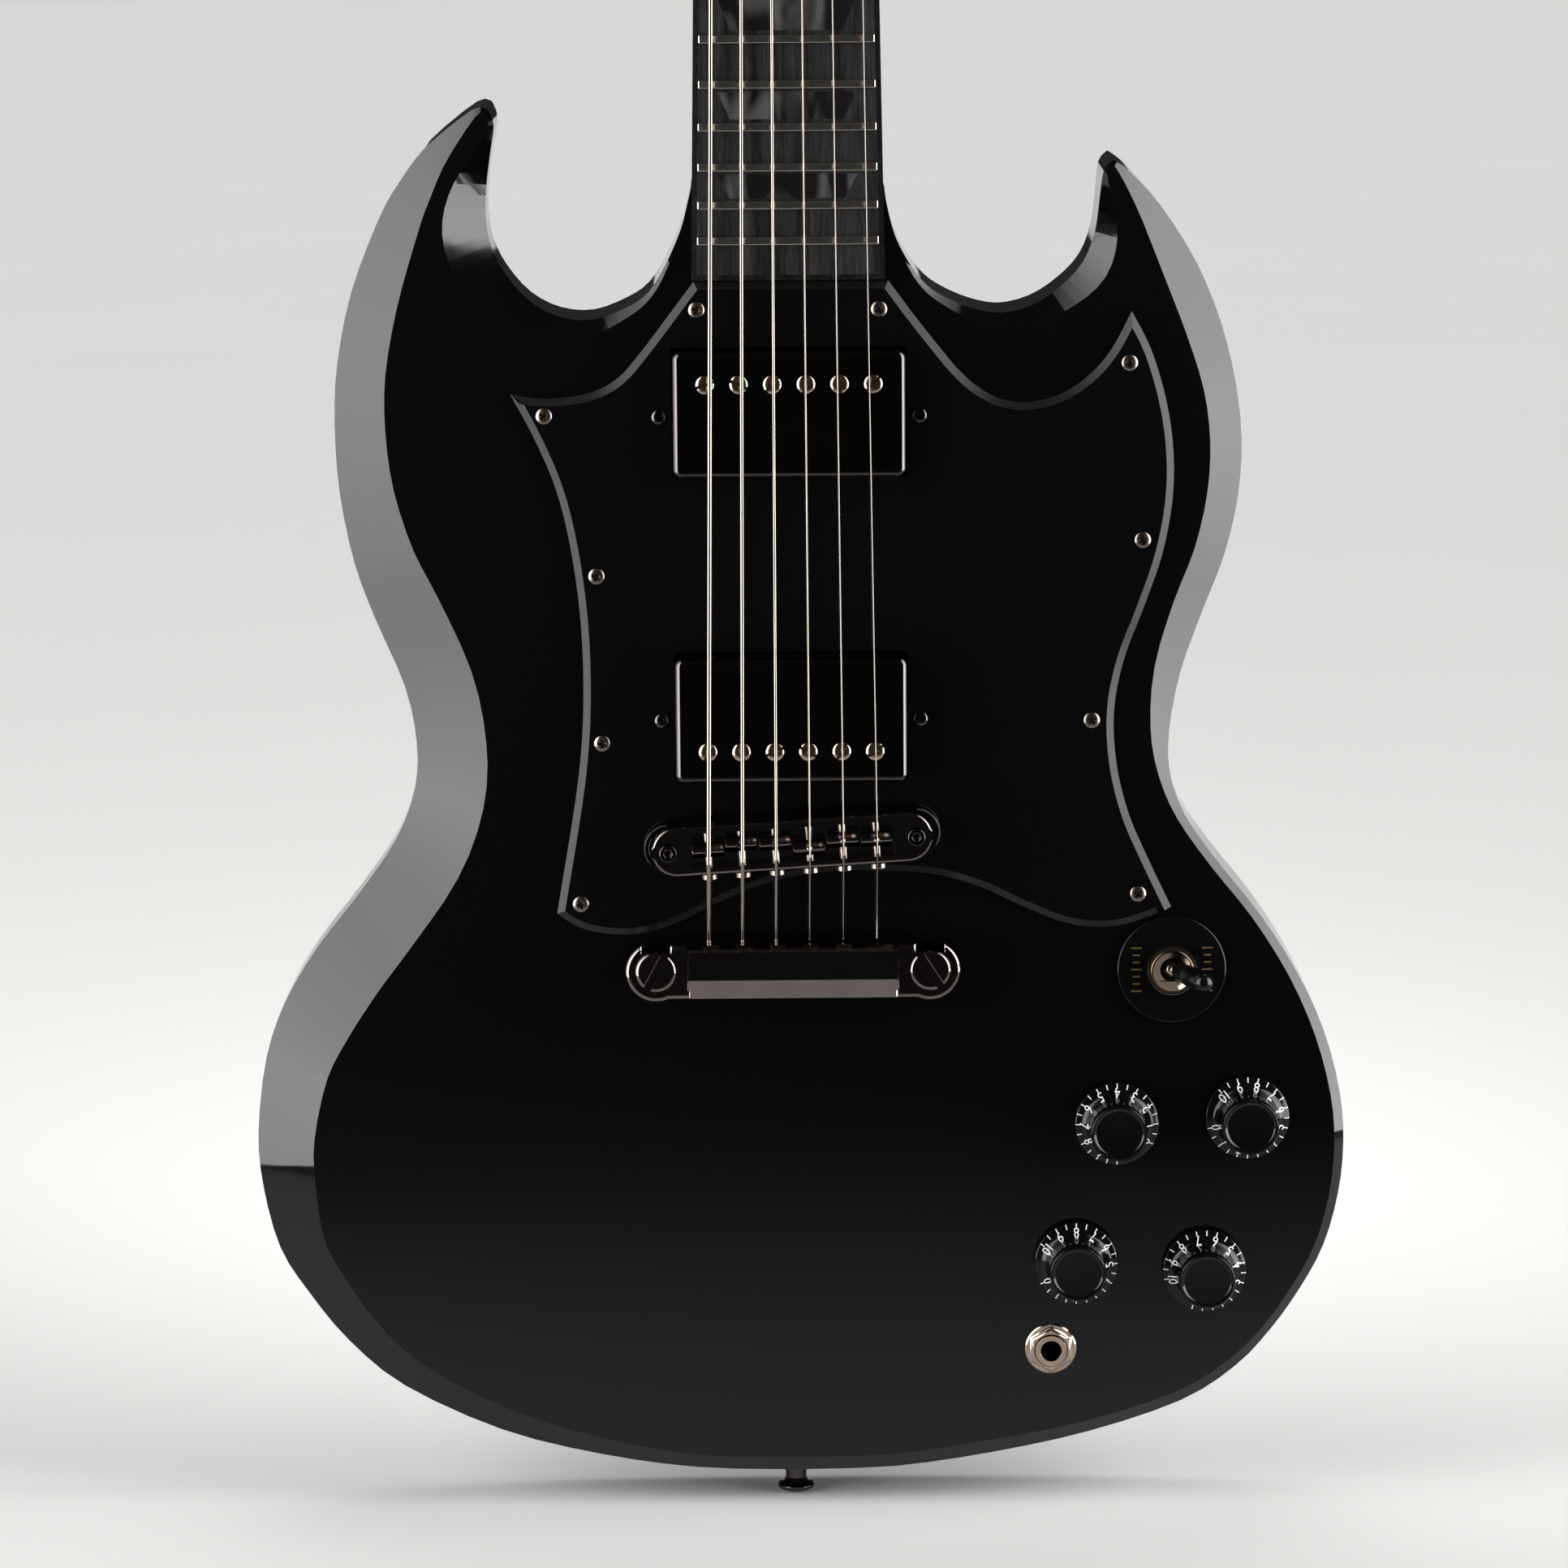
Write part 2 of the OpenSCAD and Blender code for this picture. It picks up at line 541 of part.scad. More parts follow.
module pickup_coils() color("#3c1f14") bench() for (p = pickups, s = [-1, 1]) difference() {
    rounded_block([0, p.y + s * 9, 0], 65, 16.4, p.z - 13, p.z - 1.2, 7);
    for (i = [0 : 5]) translate([pole_x(i), p.y + pole_of(p), p.z - 14])
        cylinder(r = 2, h = 14);
}

module pickup_baseplates() color("#8f8a7c") bench() for (p = pickups) difference() {
    union() {
        rounded_block(p, pickup_l - 1.4, pickup_w - 1.4, p.z - cover_h, p.z - cover_h + 1.2, 2);
        for (s = [-1, 1]) block(
            [s * 38.1 - 5.5, p.y - 6.6, p.z - cover_h - 4.2],
            [s * 38.1 + 5.5, p.y + 4.2, p.z - cover_h - 3]);
        for (s = [-1, 1]) block(
            [s * 33.15 - 0.55, p.y - 6.6, p.z - cover_h - 4.2],
            [s * 33.15 + 0.55, p.y + 4.2, p.z - cover_h + 1]);
        block([-32, p.y - 3.2, p.z - cover_h - 3], [32, p.y + 3.2, p.z - cover_h]);
    }
    for (s = [-1, 1]) translate([s * height_screw_x, p.y - 1.2, p.z - cover_h - 6])
        cylinder(r = 1.35, h = 6);
    for (i = [0 : 5]) translate([pole_x(i), p.y + pole_of(p), p.z - cover_h - 6])
        cylinder(r = 2, h = 14);
}

module pole_screws() color(nickel) bench() for (p = pickups, i = [0 : 5])
    translate([pole_x(i), p.y + pole_of(p), p.z - 0.6])
        difference() {
            union() {
                cylinder(r = 2.75, h = 1.5);
                translate([0, 0, -16.5]) cylinder(r = 1.8, h = 17);
            }
            rotate([0, 0, 35 + 40 * i]) block([-3, -0.45, 0.8], [3, 0.45, 3]);
        }

module pickup_height_screws() color(black_metal) bench() for (p = pickups, s = [-1, 1])
    translate([s * height_screw_x, p.y - 1.2, plate_t])
        screw(2.1, 1.3, 1.3, 14, 0.55, 2);

// --- Bridge ---

bridge_low = 7.6;
bridge_top = 14.2;
bridge_w = 15;
bridge_l = 84;
trench_w = 10.4;
trench_l = 60.8;
screw_z = 11.7;
saddle_w = string_pitch - 0.6;
string_slack = 0.65;     // a saddle's notch against its string, over the whole travel

module bridge_body() color(black_metal) bench() on_bridge() difference() {
    translate([0, 0, bridge_low]) linear_extrude(bridge_top - bridge_low) {
        square([bridge_l - bridge_w, bridge_w], center = true);
        for (s = [-1, 1]) translate([s * (bridge_l - bridge_w) / 2, 0]) circle(d = bridge_w);
    }
    block([-trench_l / 2, -trench_w / 2, bridge_low + 1.6], [trench_l / 2, trench_w / 2, 20]);
    for (s = [-1, 1]) translate([s * post_span / 2, 0, 0]) cylinder(r = 2.75, h = 30);
    for (i = [0 : 5]) translate([saddle_x(i), bridge_w / 2 + 1, screw_z]) rotate([90, 0, 0])
        cylinder(r = 1.25 + run_gap, h = bridge_w + 2);
}

module bridge_posts() color(black_metal) bench() for (s = [-1, 1])
    translate(from_bridge([s * post_span / 2, 0, 0])) {
        difference() {
            translate([0, 0, -18]) cylinder(r = 2.6, h = 33.6);
            translate([0, 0, 14]) cylinder(r = 1.3, h = 3, $fn = 6);
        }
        tube(7.4, 2.6, bridge_low - 2.3, bridge_low);
    }

post_bush_r = 5.6;
tail_bush_r = 6.2;
tuner_bush_r = 4.9;

module bushings() color(black_metal) bench() {
    for (s = [-1, 1]) translate(from_bridge([s * post_span / 2, 0, 0]))
        tube(post_bush_r, 2.7, -20, 0);
    for (s = [-1, 1]) translate([s * tail_span / 2, tail_line, 0])
        tube(tail_bush_r, 4.1, -24, 0.6);
    for (i = [0 : 5]) on_head() translate([tuner_at(i).x, tuner_at(i).y, 0]) difference() {
        union() {
            translate([0, 0, -head_t]) cylinder(r = tuner_bush_r, h = head_t);
            cylinder(r = 7, h = 2.4, $fn = 6);
            cylinder(r = 7.4, h = 0.8);
        }
        translate([0, 0, -head_t - 1]) cylinder(r = post_r + run_gap, h = head_t + 5);
    }
}

module saddle(i) color("#3a3a3d") bench() on_bridge()
    translate([saddle_x(i), saddle_rest[i], 0]) difference() {
        rotate([90, 0, 90]) translate([0, 0, -saddle_w / 2]) linear_extrude(saddle_w)
            polygon([[-2.3, bridge_low + 2], [2.3, bridge_low + 2], [2.3, 14.2],
                [0.3, 17], [-0.3, 17], [-2.3, 14.2]]);
        translate([0, 4, screw_z]) rotate([90, 0, 0])
            cylinder(r = 1.25 + run_gap, h = 8);
        translate([0, 4, string_h]) rotate([90, 0, 0])
            cylinder(r = string_gauges[i] + string_slack, h = 8);
    }

module saddle_screw(i) color(nickel) bench() on_bridge()
    translate([saddle_x(i), 0, screw_z]) {
        translate([0, bridge_w / 2 - 1, 0]) rotate([90, 0, 0])
            cylinder(r = 1.25, h = bridge_w - 0.8);
        translate([0, -bridge_w / 2 - 0.1, 0]) rotate([90, 0, 0]) difference() {
            cylinder(r = 2.3, h = 1.5);
            block([-2, -0.4, 0.9], [2, 0.4, 3]);
        }
    }

// --- Tailpiece and strings ---

bar_half = 31.8;         // half length of the raised centre bar
tail_low_y = tail_line - 9;
tail_high_y = tail_line + 7.6;
lug_low = tail_floor + 1.4;
lug_top = 11.6;
string_hole_z = 7.6;

module tailpiece() color(black_metal) bench() difference() {
    union() {
        // Raised bar between the lugs, its lower edge cut to a broad facet
        rotate([90, 0, 90]) translate([0, 0, -bar_half]) linear_extrude(2 * bar_half)
            polygon([[tail_low_y, tail_floor + 1.5], [tail_low_y + 1.5, tail_floor],
                [tail_high_y - 3, tail_floor], [tail_high_y, tail_floor + 3],
                [tail_high_y, tail_top - 2.2], [tail_high_y - 1.8, tail_top],
                [tail_low_y + 6.2, tail_top], [tail_low_y, tail_top - 3.4]]);
        // Lug with a rounded end each side
        for (s = [-1, 1]) translate([s * tail_span / 2, tail_line - 0.6, lug_low])
            cylinder(r = 9.2, h = lug_top - lug_low);
        for (s = [-1, 1]) block(
            [s * 36 - 5.5, tail_low_y, lug_low], [s * 36 + 5.5, tail_high_y, lug_top]);
    }
    // Claw slot, open towards the neck
    for (s = [-1, 1]) {
        translate([s * tail_span / 2, tail_line, 0]) cylinder(r = stud_neck_r + 0.3, h = 30);
        block([s * tail_span / 2 - stud_neck_r - 0.3, tail_line, 0],
            [s * tail_span / 2 + stud_neck_r + 0.3, tail_line + 20, 30]);
        translate([s * tail_span / 2, tail_line, lug_top - 0.1]) cylinder(r = 6.6, h = 9);
    }
    // String holes with seats for the ball ends
    for (i = [0 : 5]) translate([saddle_x(i), 0, string_hole_z]) rotate([-90, 0, 0]) {
        cylinder(r = 1.2, h = 300);
        translate([0, 0, tail_low_y - 2]) cylinder(r = 2.3, h = 6.5);
    }
}

stud_neck_r = 4;
module tailpiece_studs() color(black_metal) bench() for (s = [-1, 1])
    translate([s * tail_span / 2, tail_line, 0]) difference() {
        union() {
            translate([0, 0, -22]) cylinder(r = 3.95, h = 36.4);
            translate([0, 0, lug_low - 3.3]) cylinder(r = 6.2, h = 3);
            translate([0, 0, lug_top + 0.1]) cylinder(r = 6.2, h = 2.9);
        }
        rotate([0, 0, s < 0 ? 62 : -57]) block([-7, -1.1, lug_top + 1.7], [7, 1.1, 20]);
    }

function tail_pt(i) = [saddle_x(i), tail_low_y + 1.2, string_hole_z];
function tail_exit(i) = [saddle_x(i), tail_high_y + 1, string_hole_z];
function bend_pt(i) = from_bridge([saddle_x(i), -saddle_travel - 1, string_h]);
function nut_pt(i) = from_neck([nut_x(i), nut_dist + 0.5, nut_h]);
function lip_pt(i) = from_neck([nut_x(i), nut_dist + nut_t + 0.3, nut_h - 1.2]);
function wind_pt(i) = from_head([
    tuner_at(i).x - tuner_side(i) * (post_r + 0.4 + string_gauges[i]), tuner_at(i).y, 8
]);

module strings() color("#b9b2a6") bench() for (i = [0 : 5]) {
    way = [tail_pt(i) + [0, 1, 0], tail_exit(i), bend_pt(i), nut_pt(i), lip_pt(i), wind_pt(i)];
    translate(tail_pt(i)) rotate([-90, 0, 0]) cylinder(r = 2, h = 2.6);
    for (k = [0 : len(way) - 2]) rod(way[k], way[k + 1], string_gauges[i]);
    for (k = [1 : len(way) - 2]) translate(way[k]) sphere(r = string_gauges[i] + 0.04);
}

// --- Controls ---

pot_bush_r = 4.7;
pot_bush_h = 4.2;
shaft_r = 3;
switch_barrel_r = 5.9;
jack_barrel_r = 4.75;
ring_t = 1.3;
ring_r = 16.4;

module knob(at) color(black) bench() translate([at.x, at.y, 0]) {
    r = knob_d / 2;
    rotate_extrude($fn = 72) polygon([
        [shaft_r - 0.1, 4.6], [8, 4.6], [9.4, 1], [r - 0.3, 1], [r, 1.3], [r, 2.9],
        [r - 0.5, 3.4], [r - 3, 4.8], [r - 4, 6.4], [r - 4.5, 8.6], [r - 4.75, knob_h - 0.6],
        [r - 5.3, knob_h], [r - 6.6, knob_h - 0.4], [0, knob_h - 0.4], [0, knob_h - 3],
        [shaft_r - 0.1, knob_h - 3]
    ]);
    translate([0, 0, -top_skin - 8]) cylinder(r = shaft_r, h = top_skin + 8 + knob_h - 2);
}

module potentiometers() color("#8d8d90") bench() for (k = knobs)
    translate([k.x, k.y, 0]) difference() {
        union() {
            translate([0, 0, -top_skin - 10.2]) cylinder(r = 12, h = 10);
            translate([0, 0, -top_skin - 1]) cylinder(r = pot_bush_r, h = top_skin + 1 + pot_bush_h);
            for (x = [-5, 0, 5]) block([x - 1, -15, -top_skin - 4], [x + 1, 0, -top_skin - 3]);
        }
        translate([0, 0, -top_skin - 8.6]) cylinder(r = shaft_r + run_gap, h = 60);
    }

module panel_nuts() color(nickel) bench() {
    for (k = knobs) translate([k.x, k.y, 0.02]) difference() {
        cylinder(r = 6.8, h = 2, $fn = 6);
        translate([0, 0, -1]) cylinder(r = pot_bush_r + 0.02, h = 4);
    }
    translate([jack_at.x, jack_at.y, 0.02]) {
        tube(7.8, jack_barrel_r + 0.02, 0, 0.8);
        difference() {
            translate([0, 0, 0.8]) rotate([0, 0, 30]) cylinder(r = 6.8, h = 2, $fn = 6);
            cylinder(r = jack_barrel_r + 0.02, h = 4);
        }
    }
    translate([switch_at.x, switch_at.y, 0])
        tube(7.7, switch_barrel_r + 0.02, ring_t + 0.02, ring_t + 3.2);
}

module switch_ring() color(black) bench() translate([switch_at.x, switch_at.y, 0])
    tube(ring_r, switch_barrel_r + 0.15, eps, ring_t);

module switch_housing() color("#9c9a94") bench() translate([switch_at.x, switch_at.y, 0])
    difference() {
        union() {
            block([-7, -11, -top_skin - 19], [7, 11, -top_skin - 0.1]);
            translate([0, 0, -top_skin - 1]) cylinder(r = switch_barrel_r, h = top_skin + 6);
        }
        translate([0, 0, -top_skin]) cylinder(r = 4.7, h = 40);
        translate([0, 0, -top_skin - 12]) cylinder(r = 2, h = 20);
    }

module lever_pose() bench() translate([switch_at.x, switch_at.y, 0])
    rotate([0, lever_lean, 0]) children();

module switch_lever() color("#a8a49c") lever_pose() union() {
    sphere(r = 3.1);
    translate([0, 0, -5]) cylinder(r = 1.4, h = 21);
}

module switch_tip() color(black) lever_pose() difference() {
    rotate_extrude() polygon([
        [0, 7], [2.3, 7], [2.7, 9], [3.1, 15], [3.2, 20], [2.9, 22.6], [1.9, 24.4], [0, 25]
    ]);
    translate([0, 0, 6]) cylinder(r = 1.42, h = 10.05);
}

module output_jack() color(nickel) bench() translate([jack_at.x, jack_at.y, 0]) {
    difference() {
        union() {
            translate([0, 0, -top_skin - 4]) cylinder(r = jack_barrel_r, h = top_skin + 7.4);
            translate([0, 0, -top_skin - 2]) cylinder(r = 8, h = 1.9);
        }
        translate([0, 0, -40]) cylinder(r = jack_r, h = 60);
    }
    // Contact springs beside the plug's way
    for (s = [-1, 1]) {
        block([s * 6 - 0.5, -2.5, -top_skin - 18], [s * 6 + 0.5, 2.5, -top_skin - 1.9]);
        block([s * 5.2 - 1.2, -2.5, -top_skin - 19], [s * 5.2 + 1.2, 2.5, -top_skin - 17.9]);
    }
}

module cover_shape(grow)
    polygon(flat(ring(cavity_outline, 0, [for (p = cavity_outline) -cover_lip - grow])));

module control_cover() translate([0, 0, -body_t]) difference() {
    linear_extrude(cover_t) cover_shape(-cover_gap);
    for (p = cover_screws) translate([p.x, p.y, -1]) cylinder(r = screw_hole_r, h = 5);
    for (p = cover_screws) translate([p.x, p.y, -1]) cylinder(r = screw_seat_r, h = 1.7);
}

module cover_plates() color(black) bench() {
    truss_rod_cover();
    control_cover();
}

// --- Tuners ---

box_low = -head_t - 10.6;
worm_z = -head_t - 5.6;
worm_off = 8;

module tuner_housings() color(black_metal) bench() on_head() for (i = [0 : 5]) {
    s = tuner_side(i);
    translate([tuner_at(i).x, tuner_at(i).y, 0]) difference() {
        union() {
            block([-8, -12.5, box_low], [8, 8.5, -head_t - 0.02]);
            translate([s > 0 ? 7 : -13, -worm_off, worm_z]) rotate([0, 90, 0])
                cylinder(r = 3.6, h = 6);
        }
        translate([0, 0, box_low + 1]) cylinder(r = 5.6, h = 8.6);
        translate([0, 0, box_low + 5]) cylinder(r = post_r + run_gap, h = 20);
        translate([-6.4, -worm_off, worm_z]) rotate([0, 90, 0]) cylinder(r = 2.9, h = 12.8);
        translate([s > 0 ? 0 : -20, -worm_off, worm_z]) rotate([0, 90, 0])
            cylinder(r = 1.9 + run_gap, h = 20);
    }
}

module tuner_post(i) color("#56565a") bench() on_head()
    translate([tuner_at(i).x, tuner_at(i).y, 0]) difference() {
        union() {
            translate([0, 0, box_low + 1.6]) cylinder(r = post_r, h = 19 - box_low - 1.6);
            translate([0, 0, worm_z - 2]) cylinder(r = 5, h = 4);
        }
        translate([0, 0, 8]) rotate([90, 0, 90]) cylinder(r = 0.9, h = 20, center = true);
    }

module tuner_button(i) color(black_metal) bench() on_head() {
    s = tuner_side(i);
    reach = head_edge_x + 8 - 3.5 * (2 - tuner_row(i));
    translate([tuner_at(i).x, tuner_at(i).y - worm_off, worm_z]) rotate([0, 90 * s, 0]) {
        translate([0, 0, -5.8]) cylinder(r = 2.5, h = 11.6);
        translate([0, 0, 5]) cylinder(r = 1.9, h = reach - abs(tuner_at(i).x) - 4);
        translate([0, 0, reach - abs(tuner_at(i).x)]) {
            translate([0, 0, -0.5]) cylinder(r = 3.4, h = 3);
            block([-3.6, -5.5, 1.5], [3.6, 5.5, 13]);
            for (t = [-1, 1]) translate([0, t * 5.5, 1.5]) cylinder(r = 3.6, h = 11.5);
        }
    }
}

// --- Strap buttons ---

module strap_button() rotate_extrude() polygon([
    [0, -22], [1.6, -22], [1.6, 0], [5.2, 0], [5, 1.2], [3.4, 2.6], [3.2, 6],
    [4, 7.4], [5.6, 8], [5.6, 9.2], [4.4, 10], [0, 10]
]);

module strap_buttons() color(black_metal) bench() {
    translate([0, 0, -body_t / 2]) rotate([90, 0, 0]) strap_button();
    translate([0, heel_button, -body_t]) rotate([180, 0, 0]) intersection() {
        strap_button();
        translate([0, 0, -9]) cylinder(r = 9, h = 30);
    }
}

body_planks(false);  // body_core
body_planks(true);  // body_wings
neck();
fingerboard();
fingerboard_binding();
inlays();
frets();
nut();
truss_rod();
pickguard();
plate_screws();
pickup_covers();
pickup_coils();
pickup_baseplates();
pole_screws();
pickup_height_screws();
bridge_body();
bridge_posts();
bushings();
tailpiece();
tailpiece_studs();
strings();
switch_ring();
switch_housing();
panel_nuts();
output_jack();
potentiometers();
cover_plates();
tuner_housings();
strap_buttons();
for (i = [0 : 5]) {
    saddle(i);
    saddle_screw(i);
    tuner_post(i);
    tuner_button(i);
}
knob(knobs[0]);  // knob_neck_volume
knob(knobs[2]);  // knob_neck_tone
knob(knobs[1]);  // knob_bridge_volume
knob(knobs[3]);  // knob_bridge_tone
switch_lever();
switch_tip();
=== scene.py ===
import math

import bpy
from mathutils import Matrix, Vector


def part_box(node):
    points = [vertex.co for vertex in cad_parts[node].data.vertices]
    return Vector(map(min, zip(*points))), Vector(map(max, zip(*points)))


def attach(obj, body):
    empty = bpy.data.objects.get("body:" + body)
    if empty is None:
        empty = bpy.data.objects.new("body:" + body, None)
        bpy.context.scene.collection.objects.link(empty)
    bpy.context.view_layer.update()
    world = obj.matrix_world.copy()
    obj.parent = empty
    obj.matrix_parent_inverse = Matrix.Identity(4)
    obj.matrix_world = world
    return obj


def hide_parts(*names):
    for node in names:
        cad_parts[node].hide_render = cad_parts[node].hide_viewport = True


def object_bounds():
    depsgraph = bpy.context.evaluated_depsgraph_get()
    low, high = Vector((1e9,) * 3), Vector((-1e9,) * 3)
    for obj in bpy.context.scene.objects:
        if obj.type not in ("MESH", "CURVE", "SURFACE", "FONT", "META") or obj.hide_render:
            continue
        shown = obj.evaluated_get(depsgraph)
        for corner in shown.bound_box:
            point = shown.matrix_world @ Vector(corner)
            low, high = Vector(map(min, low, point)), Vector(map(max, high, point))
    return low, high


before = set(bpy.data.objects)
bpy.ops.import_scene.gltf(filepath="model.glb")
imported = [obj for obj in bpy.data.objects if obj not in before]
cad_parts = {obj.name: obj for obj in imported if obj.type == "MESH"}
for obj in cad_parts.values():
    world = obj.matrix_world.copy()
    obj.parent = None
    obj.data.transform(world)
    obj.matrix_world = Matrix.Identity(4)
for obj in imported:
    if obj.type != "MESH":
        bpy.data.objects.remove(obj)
cad_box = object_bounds()

# --- Camera ---
# It stands in front of the body, a little above its middle, and looks down on it through a long
# lens.
camera_data = bpy.data.cameras.new("front_camera")
camera_data.lens = 146.2
camera_data.sensor_width = 36
camera = bpy.data.objects.new("front_camera", camera_data)
bpy.context.collection.objects.link(camera)
camera_place = (-0.0103, -1.8957, 0.5598)
tilt, pan, roll = math.radians(79.58), -0.0042, -0.008
camera.matrix_world = (
    Matrix.Translation(camera_place) @ Matrix.Rotation(tilt, 4, "X")
    @ Matrix.Rotation(pan, 4, "Y") @ Matrix.Rotation(roll, 4, "Z")
)
bpy.context.scene.camera = camera

# --- Body ---
# Three mahogany planks glued edge to edge, with wide bevels, sprayed with black nitrocellulose
# lacquer, sanded level and buffed to a deep black mirror with a trace of orange peel and haze.


def tint(code):
    """An sRGB hex colour as the linear colour that a shader takes."""
    parts = [int(code[i:i + 2], 16) / 255 for i in (1, 3, 5)]
    return [p / 12.92 if p <= 0.04045 else ((p + 0.055) / 1.055) ** 2.4 for p in parts] + [1]


def add(tree, kind, inputs=None, **settings):
    """Adds one shader node with its settings, and links or sets its inputs."""
    node = tree.nodes.new(kind)
    for key, value in settings.items():
        setattr(node, key, value)
    for key, value in (inputs or {}).items():
        if isinstance(value, bpy.types.NodeSocket):
            tree.links.new(value, node.inputs[key])
        else:
            node.inputs[key].default_value = value
    return node


def finish(name, colour, roughness, metallic=0.0):
    """Starts a material: its node tree, its shader and the piece's own coordinates."""
    material = bpy.data.materials.new(name)
    material.use_nodes = True
    tree = material.node_tree
    tree.nodes.clear()
    shader = add(tree, "ShaderNodeBsdfPrincipled", {
        "Base Color": tint(colour), "Roughness": roughness, "Metallic": metallic})
    add(tree, "ShaderNodeOutputMaterial", {"Surface": shader.outputs["BSDF"]})
    return material, tree, shader, add(tree, "ShaderNodeTexCoord").outputs["Object"]


def alone(*pieces):
    """Selects just these pieces, the first one active."""
    bpy.ops.object.select_all(action="DESELECT")
    for piece in pieces:
        piece.select_set(True)
    bpy.context.view_layer.objects.active = pieces[0]


def copy_of(node, name):
    """A CAD node's shape under a new name, with no material."""
    piece = bpy.data.objects.new(name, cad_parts[node].data.copy())
    piece.data.materials.clear()
    bpy.context.collection.objects.link(piece)
    return piece


def drop_faces(piece, unwanted):
    """Deletes the faces for which unwanted(face) is true."""
    alone(piece)
    bpy.ops.object.mode_set(mode="EDIT")
    bpy.ops.mesh.select_mode(type="FACE")
    bpy.ops.mesh.select_all(action="DESELECT")
    bpy.ops.object.mode_set(mode="OBJECT")
    for face in piece.data.polygons:
        face.select = unwanted(face)
    bpy.ops.object.mode_set(mode="EDIT")
    bpy.ops.mesh.delete(type="FACE")
    bpy.ops.object.mode_set(mode="OBJECT")


def folded(piece):
    """Tells whether a piece's faces lie over themselves by enough to show as a dark wedge."""
    allowed = 1e-5              # square metres
    piece.data.calc_loop_triangles()
    in_triangles = sum(triangle.area for triangle in piece.data.loop_triangles)
    return in_triangles - sum(face.area for face in piece.data.polygons) > allowed


def merge(piece, crease=24):
    """Joins a copy's faces into one skin with smooth curves, and with its flats whole where they
    don't fold over themselves."""
    alone(piece)
    bpy.ops.mesh.customdata_custom_splitnormals_clear()
    bpy.ops.object.mode_set(mode="EDIT")
    bpy.ops.mesh.select_all(action="SELECT")
    bpy.ops.mesh.remove_doubles(threshold=2e-6)
    bpy.ops.object.mode_set(mode="OBJECT")
    triangles = piece.data.copy()
    bpy.ops.object.mode_set(mode="EDIT")
    bpy.ops.mesh.dissolve_limited(angle_limit=math.radians(0.5))
    bpy.ops.object.mode_set(mode="OBJECT")
    if folded(piece):
        piece.data = triangles
    bpy.ops.object.shade_smooth_by_angle(angle=math.radians(crease))
    return piece


def merged_copy(node, name, crease=24):
    """A CAD node's shape, merged."""
    return merge(copy_of(node, name), crease)


def fit(piece, material, node, body="guitar"):
    """Gives a finished piece its material, its CAD node to stand for and its body."""
    # Large faces keep their own direction next to rounded edges
    alone(piece)
    normals = piece.modifiers.new("flat_faces", "WEIGHTED_NORMAL")
    normals.weight = 100
    normals.keep_sharp = True
    bpy.ops.object.modifier_apply(modifier=normals.name)
    # A flat that faces forward gets its direction exactly, so that it mirrors as one plane, and so
    # do the corners of rounded edges that run smoothly into it
    forward, flat, alike = (0, -1, 0), -0.99999, 0.001
    loops, corners = piece.data.loops, [c.vector.copy() for c in piece.data.corner_normals]
    fronts = {}
    for face in piece.data.polygons:
        if face.normal.y < flat:
            for i in face.loop_indices:
                fronts.setdefault(loops[i].vertex_index, []).append(corners[i])
    piece.data.normals_split_custom_set([
        forward if any((corner - other).length < alike
                       for other in fronts.get(loop.vertex_index, ())) else corner
        for loop, corner in zip(loops, corners)])
    piece.data.materials.append(material)
    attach(piece, body)
    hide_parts(*([node] if isinstance(node, str) else node))


# Buffed cellulose lacquer is a near-perfect mirror, hazed a little in patches some 35 mm wide
lacquer, tree, shader, place = finish("nitrocellulose_lacquer_buffed", "#050506", 0.05)
shader.inputs["Specular IOR Level"].default_value = 0.32
haze = add(tree, "ShaderNodeTexNoise", {"Vector": place, "Scale": 28.0, "Detail": 4.0})
polish = add(tree, "ShaderNodeMapRange", {
    "Value": haze.outputs["Fac"], "From Min": 0.35, "From Max": 0.7,
    "To Min": 0.03, "To Max": 0.075})
tree.links.new(polish.outputs["Result"], shader.inputs["Roughness"])
# Orange peel: shallow ripples about 4 mm across
peel = add(tree, "ShaderNodeTexNoise", {"Vector": place, "Scale": 250.0, "Detail": 1.0})
ripple = add(tree, "ShaderNodeBump", {
    "Height": peel.outputs["Fac"], "Distance": 0.00001, "Strength": 0.25})
tree.links.new(ripple.outputs["Normal"], shader.inputs["Normal"])

lacquered_body = copy_of("body_core", "lacquered_body")
alone(lacquered_body, copy_of("body_wings", "wings"))
bpy.ops.object.join()
# The lacquer runs on over the glue seams, so the faces inside them go
seam_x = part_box("body_core")[1].x
drop_faces(lacquered_body, lambda face: abs(face.normal.x) > 0.99
           and abs(abs(face.center.x) - seam_x) < 1e-5)
fit(merge(lacquered_body), lacquer, ("body_core", "body_wings"))

# --- Neck and headstock ---
# One piece of mahogany with its headstock leaning back, glued in with a long tenon, then sprayed
# with the body, so the lacquer runs on over the heel.
fit(merged_copy("neck", "lacquered_neck", 30), lacquer, "neck")

